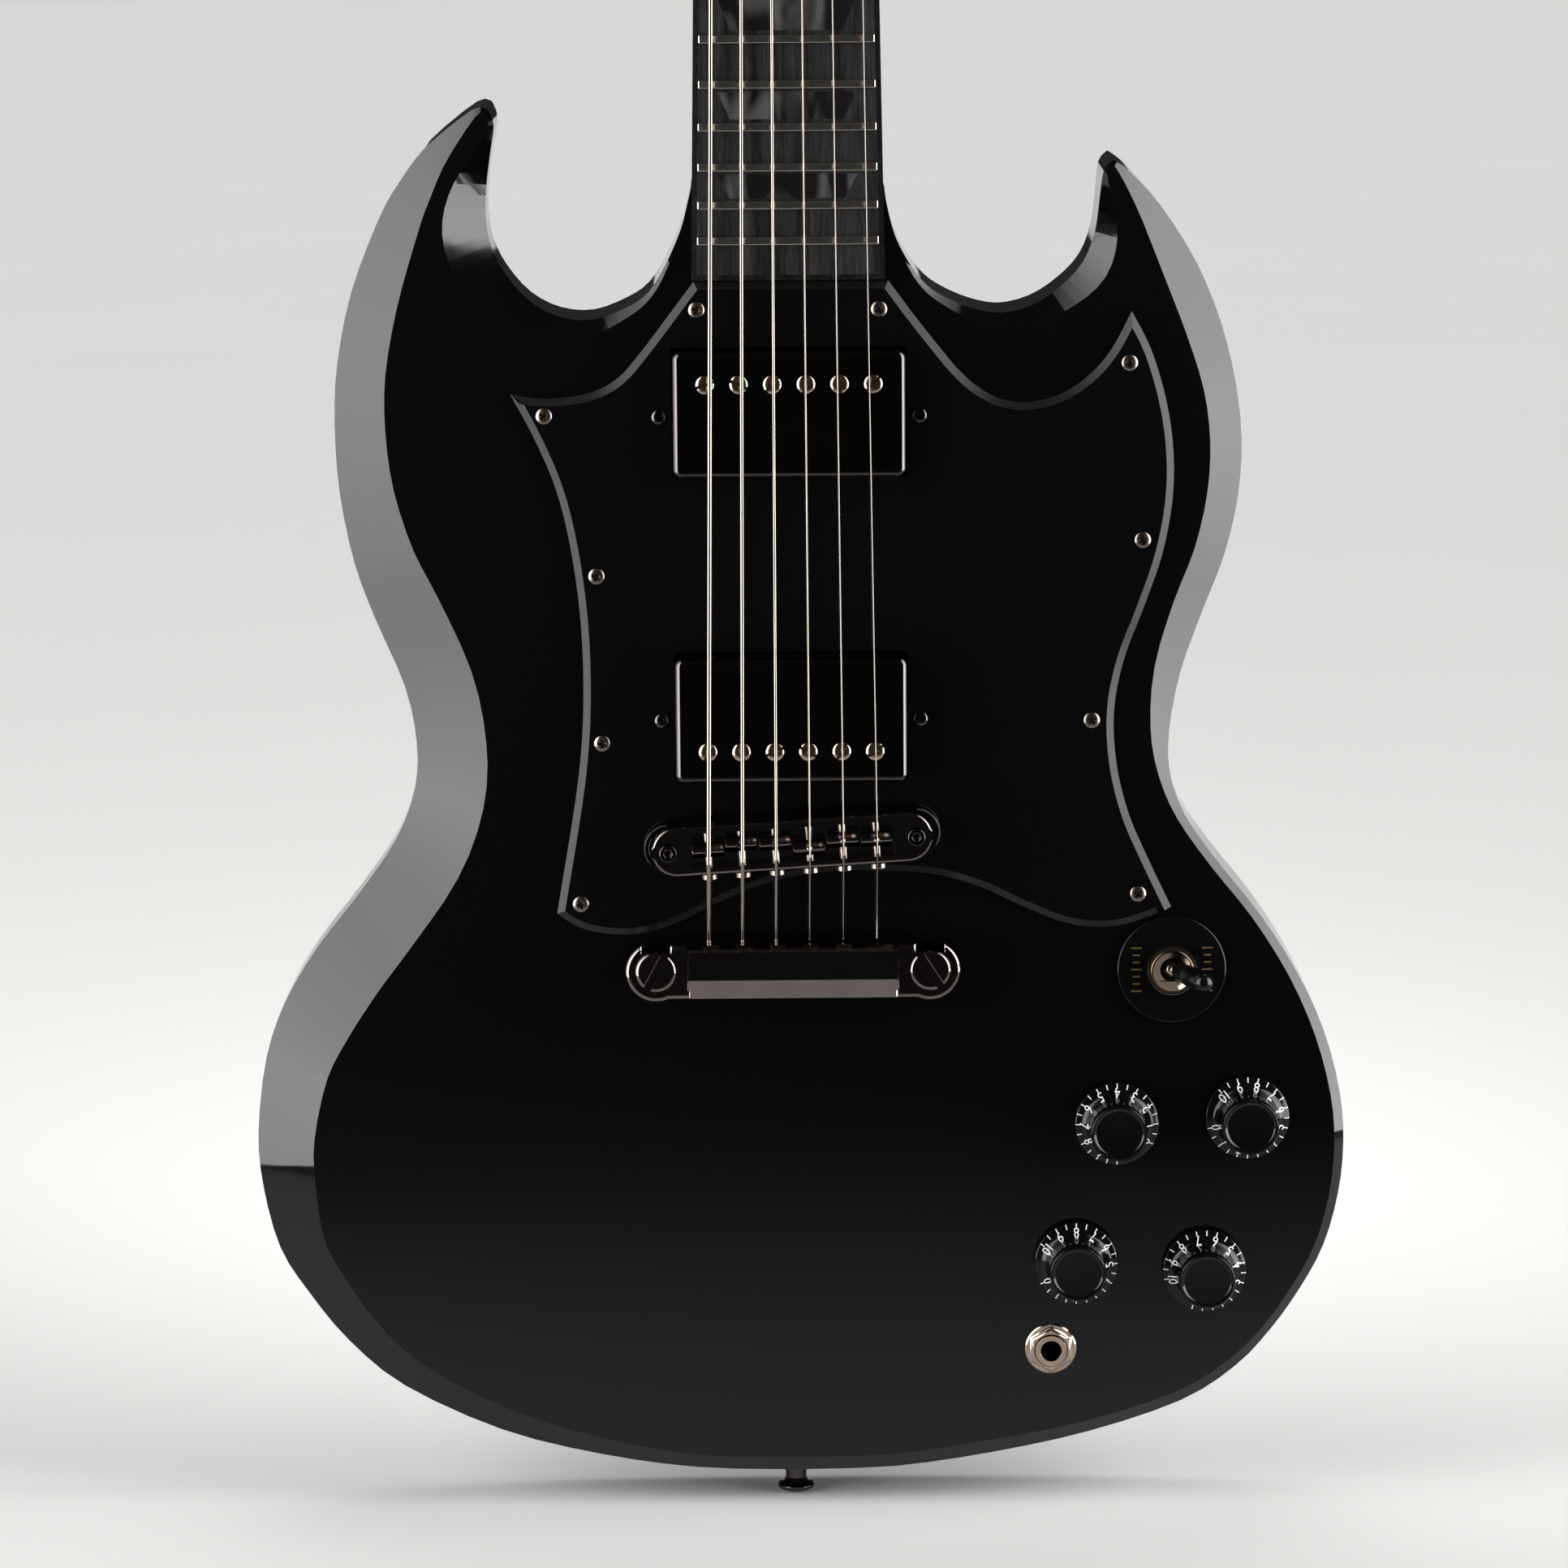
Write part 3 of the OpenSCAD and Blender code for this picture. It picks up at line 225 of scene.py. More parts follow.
# --- Fingerboard ---
# A board of ebony, planed to its radius and oiled. Its grain runs up the neck in fine streaks of
# black and charcoal, with short open pores.
ebony, tree, shader, place = finish("oiled_ebony", "#1f1f20", 0.34)
shader.inputs["Specular IOR Level"].default_value = 0.08
along = add(tree, "ShaderNodeMapping", {"Vector": place, "Scale": (1.0, 1.0, 0.03)})
streaks = add(tree, "ShaderNodeTexNoise", {
    "Vector": along.outputs["Vector"], "Scale": 1600.0, "Detail": 4.0, "Roughness": 0.7})
bands = add(tree, "ShaderNodeTexNoise", {
    "Vector": along.outputs["Vector"], "Scale": 240.0, "Detail": 3.0})
mixed = add(tree, "ShaderNodeMath", {
    0: streaks.outputs["Fac"], 1: bands.outputs["Fac"]}, operation="MULTIPLY")
spread = add(tree, "ShaderNodeMapRange", {
    "Value": mixed.outputs["Value"], "From Min": 0.14, "From Max": 0.38})
wood = add(tree, "ShaderNodeMix", {
    0: spread.outputs["Result"], 6: tint("#0f0f10"), 7: tint("#2c2b2c")}, data_type="RGBA")
tree.links.new(wood.outputs[2], shader.inputs["Base Color"])
grain = add(tree, "ShaderNodeBump", {
    "Height": streaks.outputs["Fac"], "Distance": 0.00004, "Strength": 0.5})
tree.links.new(grain.outputs["Normal"], shader.inputs["Normal"])
fit(merged_copy("fingerboard", "ebony_fingerboard"), ebony, "fingerboard")

# --- Binding ---
# A strip of black celluloid glued along both sides of the board and across its lower end, scraped
# flush and buffed, with a little nib left over each fret end.
celluloid, tree, shader, place = finish("black_celluloid_scraped", "#0c0c0d", 0.25)
scraped = add(tree, "ShaderNodeTexNoise", {"Vector": place, "Scale": 400.0, "Detail": 2.0})
sheen = add(tree, "ShaderNodeMapRange", {
    "Value": scraped.outputs["Fac"], "To Min": 0.15, "To Max": 0.4})
tree.links.new(sheen.outputs["Result"], shader.inputs["Roughness"])
fit(merged_copy("fingerboard_binding", "binding_strip"), celluloid, "fingerboard_binding")

# --- Inlays ---
# Trapezoids of dark grey pearloid, set into pockets and levelled with the board. The pearl shows
# as soft upright flakes of silver and smoke, a few millimetres wide.
pearloid, tree, shader, place = finish("dark_pearloid", "#38383a", 0.2)
shader.inputs["Specular IOR Level"].default_value = 0.12
drift = add(tree, "ShaderNodeMapping", {"Vector": place, "Scale": (1.0, 1.0, 0.35)})
flakes = add(tree, "ShaderNodeTexNoise", {
    "Vector": drift.outputs["Vector"], "Scale": 95.0, "Detail": 1.5, "Distortion": 1.2})
fold = add(tree, "ShaderNodeMapRange", {
    "Value": flakes.outputs["Fac"], "From Min": 0.42, "From Max": 0.68})
pearl = add(tree, "ShaderNodeMix", {
    0: fold.outputs["Result"], 6: tint("#121112"), 7: tint("#434243")}, data_type="RGBA")
tree.links.new(pearl.outputs[2], shader.inputs["Base Color"])
fit(merged_copy("inlays", "pearloid_inlays"), pearloid, "inlays")

# --- Frets ---
# Nickel silver wire pressed into slots, ground to a crown and polished, so each one carries one
# thin bright line along its top.
nickel_silver, tree, shader, place = finish("polished_nickel_silver", "#c3beb3", 0.18, 1.0)
wear = add(tree, "ShaderNodeTexNoise", {"Vector": place, "Scale": 1500.0, "Detail": 2.0})
scratch = add(tree, "ShaderNodeMapRange", {
    "Value": wear.outputs["Fac"], "To Min": 0.12, "To Max": 0.3})
tree.links.new(scratch.outputs["Result"], shader.inputs["Roughness"])


def soften(piece, width, segments=2, angle=35, clamp=True):
    """Rounds a piece's edges sharper than an angle, by a width in metres or by the largest share of
    it that folds no face over."""
    plain = piece.data.copy()
    for share in (1, 0.6, 0.35, 0.2):
        alone(piece)
        bevel = piece.modifiers.new("rounded_edges", "BEVEL")
        bevel.width = width * share
        bevel.segments = segments
        bevel.use_clamp_overlap = clamp
        bevel.loop_slide = False
        bevel.limit_method = "ANGLE"
        bevel.angle_limit = math.radians(angle)
        bpy.ops.object.modifier_apply(modifier=bevel.name)
        if not folded(piece):
            break
        piece.data = plain.copy()
    bpy.ops.object.shade_smooth_by_angle(angle=math.radians(angle))
    return piece


fit(soften(merged_copy("frets", "fret_wire"), 0.0007, 3), nickel_silver, "frets")

# --- Nut ---
# A block of black plastic filled with graphite, glued across the end of the board and filed to six
# slots. The files leave it satin and faintly speckled.
filled_plastic, tree, shader, place = finish("graphite_filled_plastic", "#121214", 0.45)
speckle = add(tree, "ShaderNodeTexNoise", {"Vector": place, "Scale": 2500.0, "Detail": 2.0})
filed = add(tree, "ShaderNodeMix", {
    0: speckle.outputs["Fac"], 6: tint("#0d0d0f"), 7: tint("#1d1d20")}, data_type="RGBA")
tree.links.new(filed.outputs[2], shader.inputs["Base Color"])
fit(soften(merged_copy("nut", "slotted_nut"), 0.0003), filled_plastic, "nut")

# --- Truss rod ---
# A threaded steel rod in a channel under the board, with a hexagonal nut in the headstock's
# pocket. Bare turned steel, a little dull.
turned_steel, tree, shader, place = finish("turned_steel", "#8b8b8e", 0.35, 1.0)
lathe = add(tree, "ShaderNodeTexNoise", {"Vector": place, "Scale": 1200.0, "Detail": 2.0})
tool_marks = add(tree, "ShaderNodeMapRange", {
    "Value": lathe.outputs["Fac"], "To Min": 0.25, "To Max": 0.45})
tree.links.new(tool_marks.outputs["Result"], shader.inputs["Roughness"])
fit(merged_copy("truss_rod", "steel_truss_rod"), turned_steel, "truss_rod")

# --- Pickguard ---
# Black acrylic sheet, cut to a batwing outline and screwed to the face. The sheet is a mirror with
# the marks of wiping; the flat bevel milled along its whole edge reflects softly.
acrylic, tree, shader, place = finish("black_acrylic_sheet", "#050506", 0.04)
wipe = add(tree, "ShaderNodeTexNoise", {"Vector": place, "Scale": 35.0, "Detail": 5.0})
wiped = add(tree, "ShaderNodeMapRange", {
    "Value": wipe.outputs["Fac"], "From Min": 0.4, "From Max": 0.7,
    "To Min": 0.03, "To Max": 0.08})
tree.links.new(wiped.outputs["Result"], shader.inputs["Roughness"])

milled, tree, shader, place = finish("milled_acrylic_bevel", "#151516", 0.28)
shader.inputs["Specular IOR Level"].default_value = 0.18
cutter = add(tree, "ShaderNodeTexNoise", {"Vector": place, "Scale": 900.0, "Detail": 3.0})
chatter = add(tree, "ShaderNodeMapRange", {
    "Value": cutter.outputs["Fac"], "To Min": 0.22, "To Max": 0.34})
tree.links.new(chatter.outputs["Result"], shader.inputs["Roughness"])


def bevel_outline(piece, front, width, segments, inside):
    """Bevels the edges of the flat that lies at y = front, by a width in metres or by the largest
    share of it that folds no face over; inside(x, z) tells which edges are left as they are."""
    plain = piece.data.copy()
    for share in (1, 0.8, 0.6, 0.4):
        alone(piece)
        bpy.ops.object.mode_set(mode="EDIT")
        bpy.ops.mesh.select_mode(type="EDGE")
        bpy.ops.mesh.select_all(action="DESELECT")
        bpy.ops.object.mode_set(mode="OBJECT")
        points = piece.data.vertices
        walls = set()
        for face in piece.data.polygons:
            if abs(face.normal.y) < 0.5:
                walls.update(face.edge_keys)
        for edge in piece.data.edges:
            a, b = (points[i].co for i in edge.vertices)
            on_front = abs(a.y - front) < 1e-5 and abs(b.y - front) < 1e-5
            middle = (a + b) / 2
            edge.select = on_front and edge.key in walls and not inside(middle.x, middle.z)
        bpy.ops.object.mode_set(mode="EDIT")
        bpy.ops.mesh.bevel(offset=width * share, segments=segments, affect="EDGES",
                           clamp_overlap=False, loop_slide=False)
        bpy.ops.object.mode_set(mode="OBJECT")
        if not folded(piece):
            break
        piece.data = plain.copy()
    bpy.ops.object.shade_smooth_by_angle(angle=math.radians(24))
    return piece


def near(boxes, radius):
    """A test of whether a point of the face is within a radius of any of some boxes' middles."""
    return lambda x, z: any(
        math.hypot(x - (low.x + high.x) / 2, z - (low.z + high.z) / 2) < radius
        for low, high in boxes)


def within(boxes, margin=0.001):
    """A test of whether a point of the face is in any of some boxes, widened by a margin."""
    return lambda x, z: any(
        low.x - margin < x < high.x + margin and low.z - margin < z < high.z + margin
        for low, high in boxes)


def solids(node):
    """The box of each separate solid of a CAD node."""
    alone(merged_copy(node, "measured"))
    bpy.ops.object.mode_set(mode="EDIT")
    bpy.ops.mesh.select_all(action="SELECT")
    bpy.ops.mesh.separate(type="LOOSE")
    bpy.ops.object.mode_set(mode="OBJECT")
    boxes = []
    for part in list(bpy.context.selected_objects):
        corners = [v.co for v in part.data.vertices]
        boxes.append((
            Vector([min(c[k] for c in corners) for k in range(3)]),
            Vector([max(c[k] for c in corners) for k in range(3)])))
        bpy.data.objects.remove(part)
    return sorted(boxes, key=lambda box: (round(box[0].z, 4), box[0].x))


cutouts = solids("pickup_covers") + solids("plate_screws") + solids("bridge_posts") \
    + solids("pickup_height_screws")
plate = merged_copy("pickguard", "batwing_pickguard")
plate.data.materials.append(acrylic)
plate_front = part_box("pickguard")[0].y
# The cutter leaves the bevel wider than it is deep
bevel_width, bevel_depth = 0.0022, 0.0014
bevel_outline(plate, plate_front, bevel_width, 1, within(cutouts))
for v in plate.data.vertices:
    if abs(v.co.y - plate_front - bevel_width) < 1e-5:
        v.co.y = plate_front + bevel_depth
fit(plate, milled, "pickguard")
# The faces that lean are the milled ones
for face in plate.data.polygons:
    face.material_index = 1 if -0.98 < face.normal.y < -0.3 else 0

# --- Screws of the plates ---
# Small oval-head wood screws with a cross recess, in nickel plate that is warm in tone and clouded
# by tarnish. The pickguard's own are handled and greasy, so their plate is greyer and duller.
nickel, tree, shader, place = finish("bright_nickel_plate", "#cdc1b0", 0.14, 1.0)
tarnish = add(tree, "ShaderNodeTexNoise", {"Vector": place, "Scale": 260.0, "Detail": 3.0})
aged = add(tree, "ShaderNodeMix", {
    0: tarnish.outputs["Fac"], 6: tint("#cbb8a8"), 7: tint("#a08e80")}, data_type="RGBA")
tree.links.new(aged.outputs[2], shader.inputs["Base Color"])
dulled = add(tree, "ShaderNodeMapRange", {
    "Value": tarnish.outputs["Fac"], "To Min": 0.08, "To Max": 0.2})
tree.links.new(dulled.outputs["Result"], shader.inputs["Roughness"])

# On the saddles' drive screws this darker, duller plate is partly painted shade of their channel
dull_nickel_and_painted_shade, tree, shader, place = finish("dull_plate_and_painted_shade", "#7a7069", 0.24, 1.0)
grease = add(tree, "ShaderNodeTexNoise", {"Vector": place, "Scale": 700.0, "Detail": 3.0})
handled = add(tree, "ShaderNodeMix", {
    0: grease.outputs["Fac"], 6: tint("#5b534d"), 7: tint("#948981")}, data_type="RGBA")
tree.links.new(handled.outputs[2], shader.inputs["Base Color"])


def turned(name, profile, steps=96, teeth_from=math.inf):
    """Spins a profile of [radius, height] in millimetres round Z; past a radius every other step is
    cut in, for a knurled rim."""
    tooth_root = 0.965
    mesh = bpy.data.meshes.new(name)
    mesh.from_pydata([(r / 1000, 0, h / 1000) for r, h in profile],
                     [(i, i + 1) for i in range(len(profile) - 1)], [])
    piece = bpy.data.objects.new(name, mesh)
    bpy.context.collection.objects.link(piece)
    alone(piece)
    bpy.ops.object.mode_set(mode="EDIT")
    bpy.ops.mesh.select_all(action="SELECT")
    bpy.ops.mesh.spin(steps=steps, angle=2 * math.pi, center=(0, 0, 0), axis=(0, 0, 1))
    bpy.ops.mesh.select_all(action="SELECT")
    bpy.ops.mesh.remove_doubles(threshold=1e-6)
    bpy.ops.mesh.normals_make_consistent(inside=False)
    bpy.ops.object.mode_set(mode="OBJECT")
    for v in piece.data.vertices:
        step = round(math.atan2(v.co.y, v.co.x) / (2 * math.pi) * steps)
        if math.hypot(v.co.x, v.co.y) > teeth_from / 1000 and step % 2:
            v.co.x *= tooth_root
            v.co.y *= tooth_root
    bpy.ops.object.shade_smooth_by_angle(angle=math.radians(30))
    return piece


def slot_tool(length, width, depth, turn=0, taper=1.0):
    """A block in millimetres that sinks to a depth below the origin and shortens as it sinks."""
    bpy.ops.object.select_all(action="DESELECT")
    bpy.ops.mesh.primitive_cube_add(size=0.001)
    tool = bpy.context.object
    half_cube, proud = 0.0005, 0.0002
    for v in tool.data.vertices:
        narrow = taper if v.co.z < 0 else 1
        v.co = (v.co.x * length * narrow, v.co.y * width,
                (v.co.z - half_cube) * depth + proud * narrow)
    tool.data.transform(Matrix.Rotation(math.radians(turn), 4, "Z"))
    return tool


def cut(piece, *tools):
    """Cuts tools out of a piece."""
    for tool in tools:
        alone(piece)
        hollow = piece.modifiers.new("cut", "BOOLEAN")
        hollow.operation = "DIFFERENCE"
        hollow.solver = "EXACT"
        hollow.object = tool
        bpy.ops.object.modifier_apply(modifier=hollow.name)
        bpy.data.objects.remove(tool)
    return piece


def copies_at(model, name, places):
    """One piece made of a model's copies at some places."""
    copies = []
    for place in places:
        copy = bpy.data.objects.new(name, model.data.copy())
        copy.data.transform(place)
        bpy.context.collection.objects.link(copy)
        copies.append(copy)
    alone(*copies)
    bpy.ops.object.join()
    return copies[0]


def standing(box, turn=0, size=1.0, front=None):
    """Stands an upright shape on a box's middle, pointing forward from its front or another y."""
    low, high = box
    foot = ((low.x + high.x) / 2, low.y if front is None else front, (low.z + high.z) / 2)
    return Matrix.Translation(foot) \
        @ Matrix.Rotation(math.pi / 2, 4, "X") @ Matrix.Rotation(math.radians(turn), 4, "Z") \
        @ Matrix.Diagonal((size, size, size, 1))


cross_head = soften(cut(
    turned("cross_head", [
        (0, -10), (0.9, -9), (1.3, -8), (1.3, -1.5), (2.4, -0.72), (2.38, -0.58), (2.1, -0.36),
        (1.5, -0.14), (0.8, -0.03), (0, 0)
    ]),
    *[slot_tool(3.0, 0.85, 1.5, turn, 0.5) for turn in (0, 90)]), 0.00008, 2, 40)
# The pickguard's own screws are those in front and below the middle of the neck
mid_neck = 0.6
on_plates = [box for box in solids("plate_screws") if box[1].y < 0 and box[1].z < mid_neck]
plate_screws = merged_copy("plate_screws", "cross_head_screws")
drop_faces(plate_screws, lambda face: face.center.y < 0
           and within(on_plates)(face.center.x, face.center.z))
soften(plate_screws, 0.00025)
fit(plate_screws, nickel, "plate_screws")
fit(copies_at(cross_head, "pickguard_screws", [
    standing(box, 20 + 35 * k) for k, box in enumerate(on_plates)]), dull_nickel_and_painted_shade, "plate_screws")

# --- Cover plates ---
# Two blank black plates with eased edges: one screwed over the truss rod's pocket, the other let
# into a ledge over the control cavity on the back. Moulded in satin plastic, finely grained.
satin, tree, shader, place = finish("satin_moulded_plastic", "#0f0f10", 0.3)
moulding = add(tree, "ShaderNodeTexNoise", {"Vector": place, "Scale": 1600.0, "Detail": 2.0})
texture = add(tree, "ShaderNodeBump", {
    "Height": moulding.outputs["Fac"], "Distance": 0.00002, "Strength": 0.5})
tree.links.new(texture.outputs["Normal"], shader.inputs["Normal"])
fit(soften(merged_copy("cover_plates", "blank_cover_plates"), 0.0006, 2), satin, "cover_plates")

# --- Pickup covers ---
# Drawn nickel-silver cans with rounded corners, plated in black nickel. The plating is a dark
# mirror: only the rounded edges catch a line of light.
black_nickel, tree, shader, place = finish("black_nickel_plate", "#4c4846", 0.06, 1.0)
film = add(tree, "ShaderNodeTexNoise", {"Vector": place, "Scale": 60.0, "Detail": 3.0})
wear = add(tree, "ShaderNodeMapRange", {
    "Value": film.outputs["Fac"], "From Min": 0.35, "From Max": 0.7,
    "To Min": 0.04, "To Max": 0.1})
tree.links.new(wear.outputs["Result"], shader.inputs["Roughness"])
plating = add(tree, "ShaderNodeMix", {
    0: film.outputs["Fac"], 6: tint("#464241"), 7: tint("#524d4b")}, data_type="RGBA")
tree.links.new(plating.outputs[2], shader.inputs["Base Color"])

covers = merged_copy("pickup_covers", "plated_pickup_covers")
poles = solids("pole_screws")
for box in solids("pickup_covers"):
    bevel_outline(covers, box[0].y, 0.002, 6, within(poles, 0.0015))
fit(covers, black_nickel, "pickup_covers")

# --- Pickup coils and base plates ---
# Two bobbins of enamelled copper wire under tape, on a stamped nickel-silver plate whose ears hang
# from the height screws.
tape, tree, shader, place = finish("taped_coil", "#2a1711", 0.6)
turns = add(tree, "ShaderNodeTexNoise", {"Vector": place, "Scale": 300.0, "Detail": 3.0})
wound = add(tree, "ShaderNodeMix", {
    0: turns.outputs["Fac"], 6: tint("#1d0f0b"), 7: tint("#3c2419")}, data_type="RGBA")
tree.links.new(wound.outputs[2], shader.inputs["Base Color"])
fit(merged_copy("pickup_coils", "wound_coils"), tape, "pickup_coils")
# The rolled sheet is left bare, so it is matt and cloudy
stamped, tree, shader, place = finish("stamped_nickel_silver", "#9a9384", 0.4, 1.0)
rolled = add(tree, "ShaderNodeTexNoise", {"Vector": place, "Scale": 500.0, "Detail": 3.0})
matt = add(tree, "ShaderNodeMapRange", {
    "Value": rolled.outputs["Fac"], "To Min": 0.3, "To Max": 0.5})
tree.links.new(matt.outputs["Result"], shader.inputs["Roughness"])
fit(merged_copy("pickup_baseplates", "eared_base_plates"), stamped, "pickup_baseplates")

# --- Pole screws and height screws ---
# Slotted fillister screws stand through each cover, turned to different angles; small black cross
# recess screws at the ends of each pickup set its height.
slotted_head = soften(cut(
    turned("slotted_head", [
        (0, -18), (1.8, -18), (1.8, -1.6), (2.75, -1.6), (2.75, -0.8), (2.68, -0.62), (2.5, -0.48),
        (2.0, -0.28), (1.4, -0.13), (0.7, -0.03), (0, 0)
    ]),
    slot_tool(6, 0.95, 1.2)), 0.00018, 2, 40)
pole_turns = (70, 110, 25, 150, 60, 35, 95, 20, -25, 50, 75, 48)
fit(copies_at(slotted_head, "slotted_pole_screws", [
    standing(box, turn) for box, turn in zip(poles, pole_turns)]), nickel, "pole_screws")
fit(copies_at(cross_head, "pickup_height_screw_heads", [
    standing(box, 15 + 50 * k, 0.86) for k, box in enumerate(solids("pickup_height_screws"))]),
    black_nickel, "pickup_height_screws")
for model in (cross_head, slotted_head):
    bpy.data.objects.remove(model)

# --- Bridge ---
# A die-cast bar with rounded ends, standing on two threaded posts whose knurled thumbwheels set
# its height. The bar's black nickel plate is a lighter, smoky mirror; the posts' is dark, and so
# is that of the bushings pressed into the wood for them, for the tailpiece and for the tuners.
smoked_nickel, tree, shader, place = finish("smoked_nickel_on_casting", "#746c69", 0.07, 1.0)
cloud = add(tree, "ShaderNodeTexNoise", {"Vector": place, "Scale": 90.0, "Detail": 3.0})
smoked = add(tree, "ShaderNodeMix", {
    0: cloud.outputs["Fac"], 6: tint("#6b6360"), 7: tint("#7d7471")}, data_type="RGBA")
tree.links.new(smoked.outputs[2], shader.inputs["Base Color"])

bridge_low, bridge_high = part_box("bridge_body")
bridge_z = (bridge_low.z + bridge_high.z) / 2
post_boxes = solids("bridge_posts")
# The bar slants. These limits lie just outside the saddles' channel and the posts' bores, whose
# edges aren't part of its outline
slant, channel_x, channel_z, bore_r = 0.0594, 0.0315, 0.0062, 0.005
bridge = bevel_outline(
    merged_copy("bridge_body", "cast_bridge_bar"), bridge_low.y, 0.0016, 5,
    lambda x, z: near(post_boxes, bore_r)(x, z)
    or abs(x) < channel_x and abs(z - bridge_z - slant * x) < channel_z)
fit(soften(bridge, 0.0003), smoked_nickel, "bridge_body")

# The plain wheel's rim is drawn in, to be a hub under the knurled wheel
posts = merged_copy("bridge_posts", "bridge_posts_and_hubs")
hub_r, rim_from, rim_to = 0.006, 0.007, 0.008
for low, high in post_boxes:
    x, z = (low.x + high.x) / 2, (low.z + high.z) / 2
    for v in posts.data.vertices:
        off = math.hypot(v.co.x - x, v.co.z - z)
        if rim_from < off < rim_to:
            v.co.x = x + (v.co.x - x) * hub_r / off
            v.co.z = z + (v.co.z - z) * hub_r / off
half_body = 0.0175          # the face lies this far in front of the frame's origin
wheel = turned("wheel", [
    (2.7, 5.35), (6.9, 5.35), (7.39, 5.8), (7.39, 7.1), (6.9, 7.58), (2.7, 7.58), (2.7, 5.35)
], 140, 7.3)
fit(copies_at(wheel, "knurled_thumbwheels", [
    standing(box, front=-half_body) for box in post_boxes]), black_nickel, "bridge_posts")
bpy.data.objects.remove(wheel)
fit(soften(posts, 0.0004, 3), black_nickel, "bridge_posts")
fit(soften(merged_copy("bushings", "pressed_bushings"), 0.0003), black_nickel, "bushings")

# --- Saddles and their screws ---
# Six small brass blocks filed to a ridge and plated as the bar is. Each sits in the bar's channel
# and is driven along by its own screw, in the darker dull nickel plate, which is partly painted
# shade for the channel the screws sit in.
for k in range(1, 7):
    saddle = soften(merged_copy(f"saddle_{k}", f"ridged_saddle_{k}"), 0.0003, 2, 30, False)
    fit(saddle, smoked_nickel, f"saddle_{k}", f"saddle_{k}")
    # The drive screws' darker plate is partly painted shade, not only duller metal
    drive = soften(merged_copy(f"saddle_screw_{k}", f"saddle_drive_screw_{k}"), 0.0002)
    fit(drive, dull_nickel_and_painted_shade, f"saddle_screw_{k}", f"saddle_screw_{k}")

# --- Tailpiece ---
# A die-cast bar with one broad facet along its lower edge, plated as the bridge's bar is. Its lugs
# hook over two large slotted studs, and the strings hold it there.
studs = merged_copy("tailpiece_studs", "slotted_studs")
stud_boxes = solids("tailpiece_studs")
stud_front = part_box("tailpiece_studs")[0].y
stud_r = (stud_boxes[0][1].x - stud_boxes[0][0].x) / 2
# The rim is rounded, and then the slot's edges are eased
bevel_outline(studs, stud_front, 0.0012, 4, near(stud_boxes, stud_r - 0.0004))
bevel_outline(studs, stud_front, 0.0003, 1,
              lambda x, z: not near(stud_boxes, stud_r - 0.002)(x, z))
fit(studs, smoked_nickel, "tailpiece_studs")
tail = merged_copy("tailpiece", "stop_tailpiece")
tail_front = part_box("tailpiece")[0].y
# The lugs lie a step lower than the bar; the limit just outside the studs' bores leaves those out
lug_step, lug_bore_r = 0.0018, 0.0072
bevel_outline(tail, tail_front, 0.0007, 3, lambda x, z: False)
bevel_outline(tail, tail_front + lug_step, 0.0014, 5, near(stud_boxes, lug_bore_r))
fit(soften(tail, 0.0003), smoked_nickel, "tailpiece")

# --- Strings ---
# Three wound strings and three plain ones, of nickel-plated steel wire, a slightly warm grey. The
# wrap has a turn every 0.4 mm, so the shine sharpens and softens that often; all six share it.
string_steel, tree, shader, place = finish("nickel_wound_string", "#91877d", 0.15, 1.0)
ribs = add(tree, "ShaderNodeTexWave", {"Vector": place, "Scale": 785.0}, bands_direction="Z")
wrap = add(tree, "ShaderNodeMapRange", {
    "Value": ribs.outputs["Fac"], "To Min": 0.1, "To Max": 0.22})
tree.links.new(wrap.outputs["Result"], shader.inputs["Roughness"])
fit(merged_copy("strings", "six_strings", 40), string_steel, "strings")

# --- Knobs ---
# Black knobs with a flared skirt and a shallow dish on top, moulded in gloss plastic with faint
# flow marks. White numbers from 0 to 10 and a tick for every half number are pad printed round the
# skirt, a little thin in places.
moulded, tree, shader, place = finish("gloss_moulded_plastic", "#070707", 0.09)
shader.inputs["Specular IOR Level"].default_value = 0.25
flow = add(tree, "ShaderNodeTexNoise", {"Vector": place, "Scale": 150.0, "Detail": 3.0})
polish = add(tree, "ShaderNodeMapRange", {
    "Value": flow.outputs["Fac"], "From Min": 0.35, "From Max": 0.7,
    "To Min": 0.06, "To Max": 0.16})
tree.links.new(polish.outputs["Result"], shader.inputs["Roughness"])
ink, tree, shader, place = finish("white_pad_print", "#d9dde2", 0.5)
pad = add(tree, "ShaderNodeTexNoise", {"Vector": place, "Scale": 3000.0, "Detail": 2.0})
thin = add(tree, "ShaderNodeMix", {
    0: pad.outputs["Fac"], 6: tint("#c3c8ce"), 7: tint("#e6e9ec")}, data_type="RGBA")
tree.links.new(thin.outputs[2], shader.inputs["Base Color"])

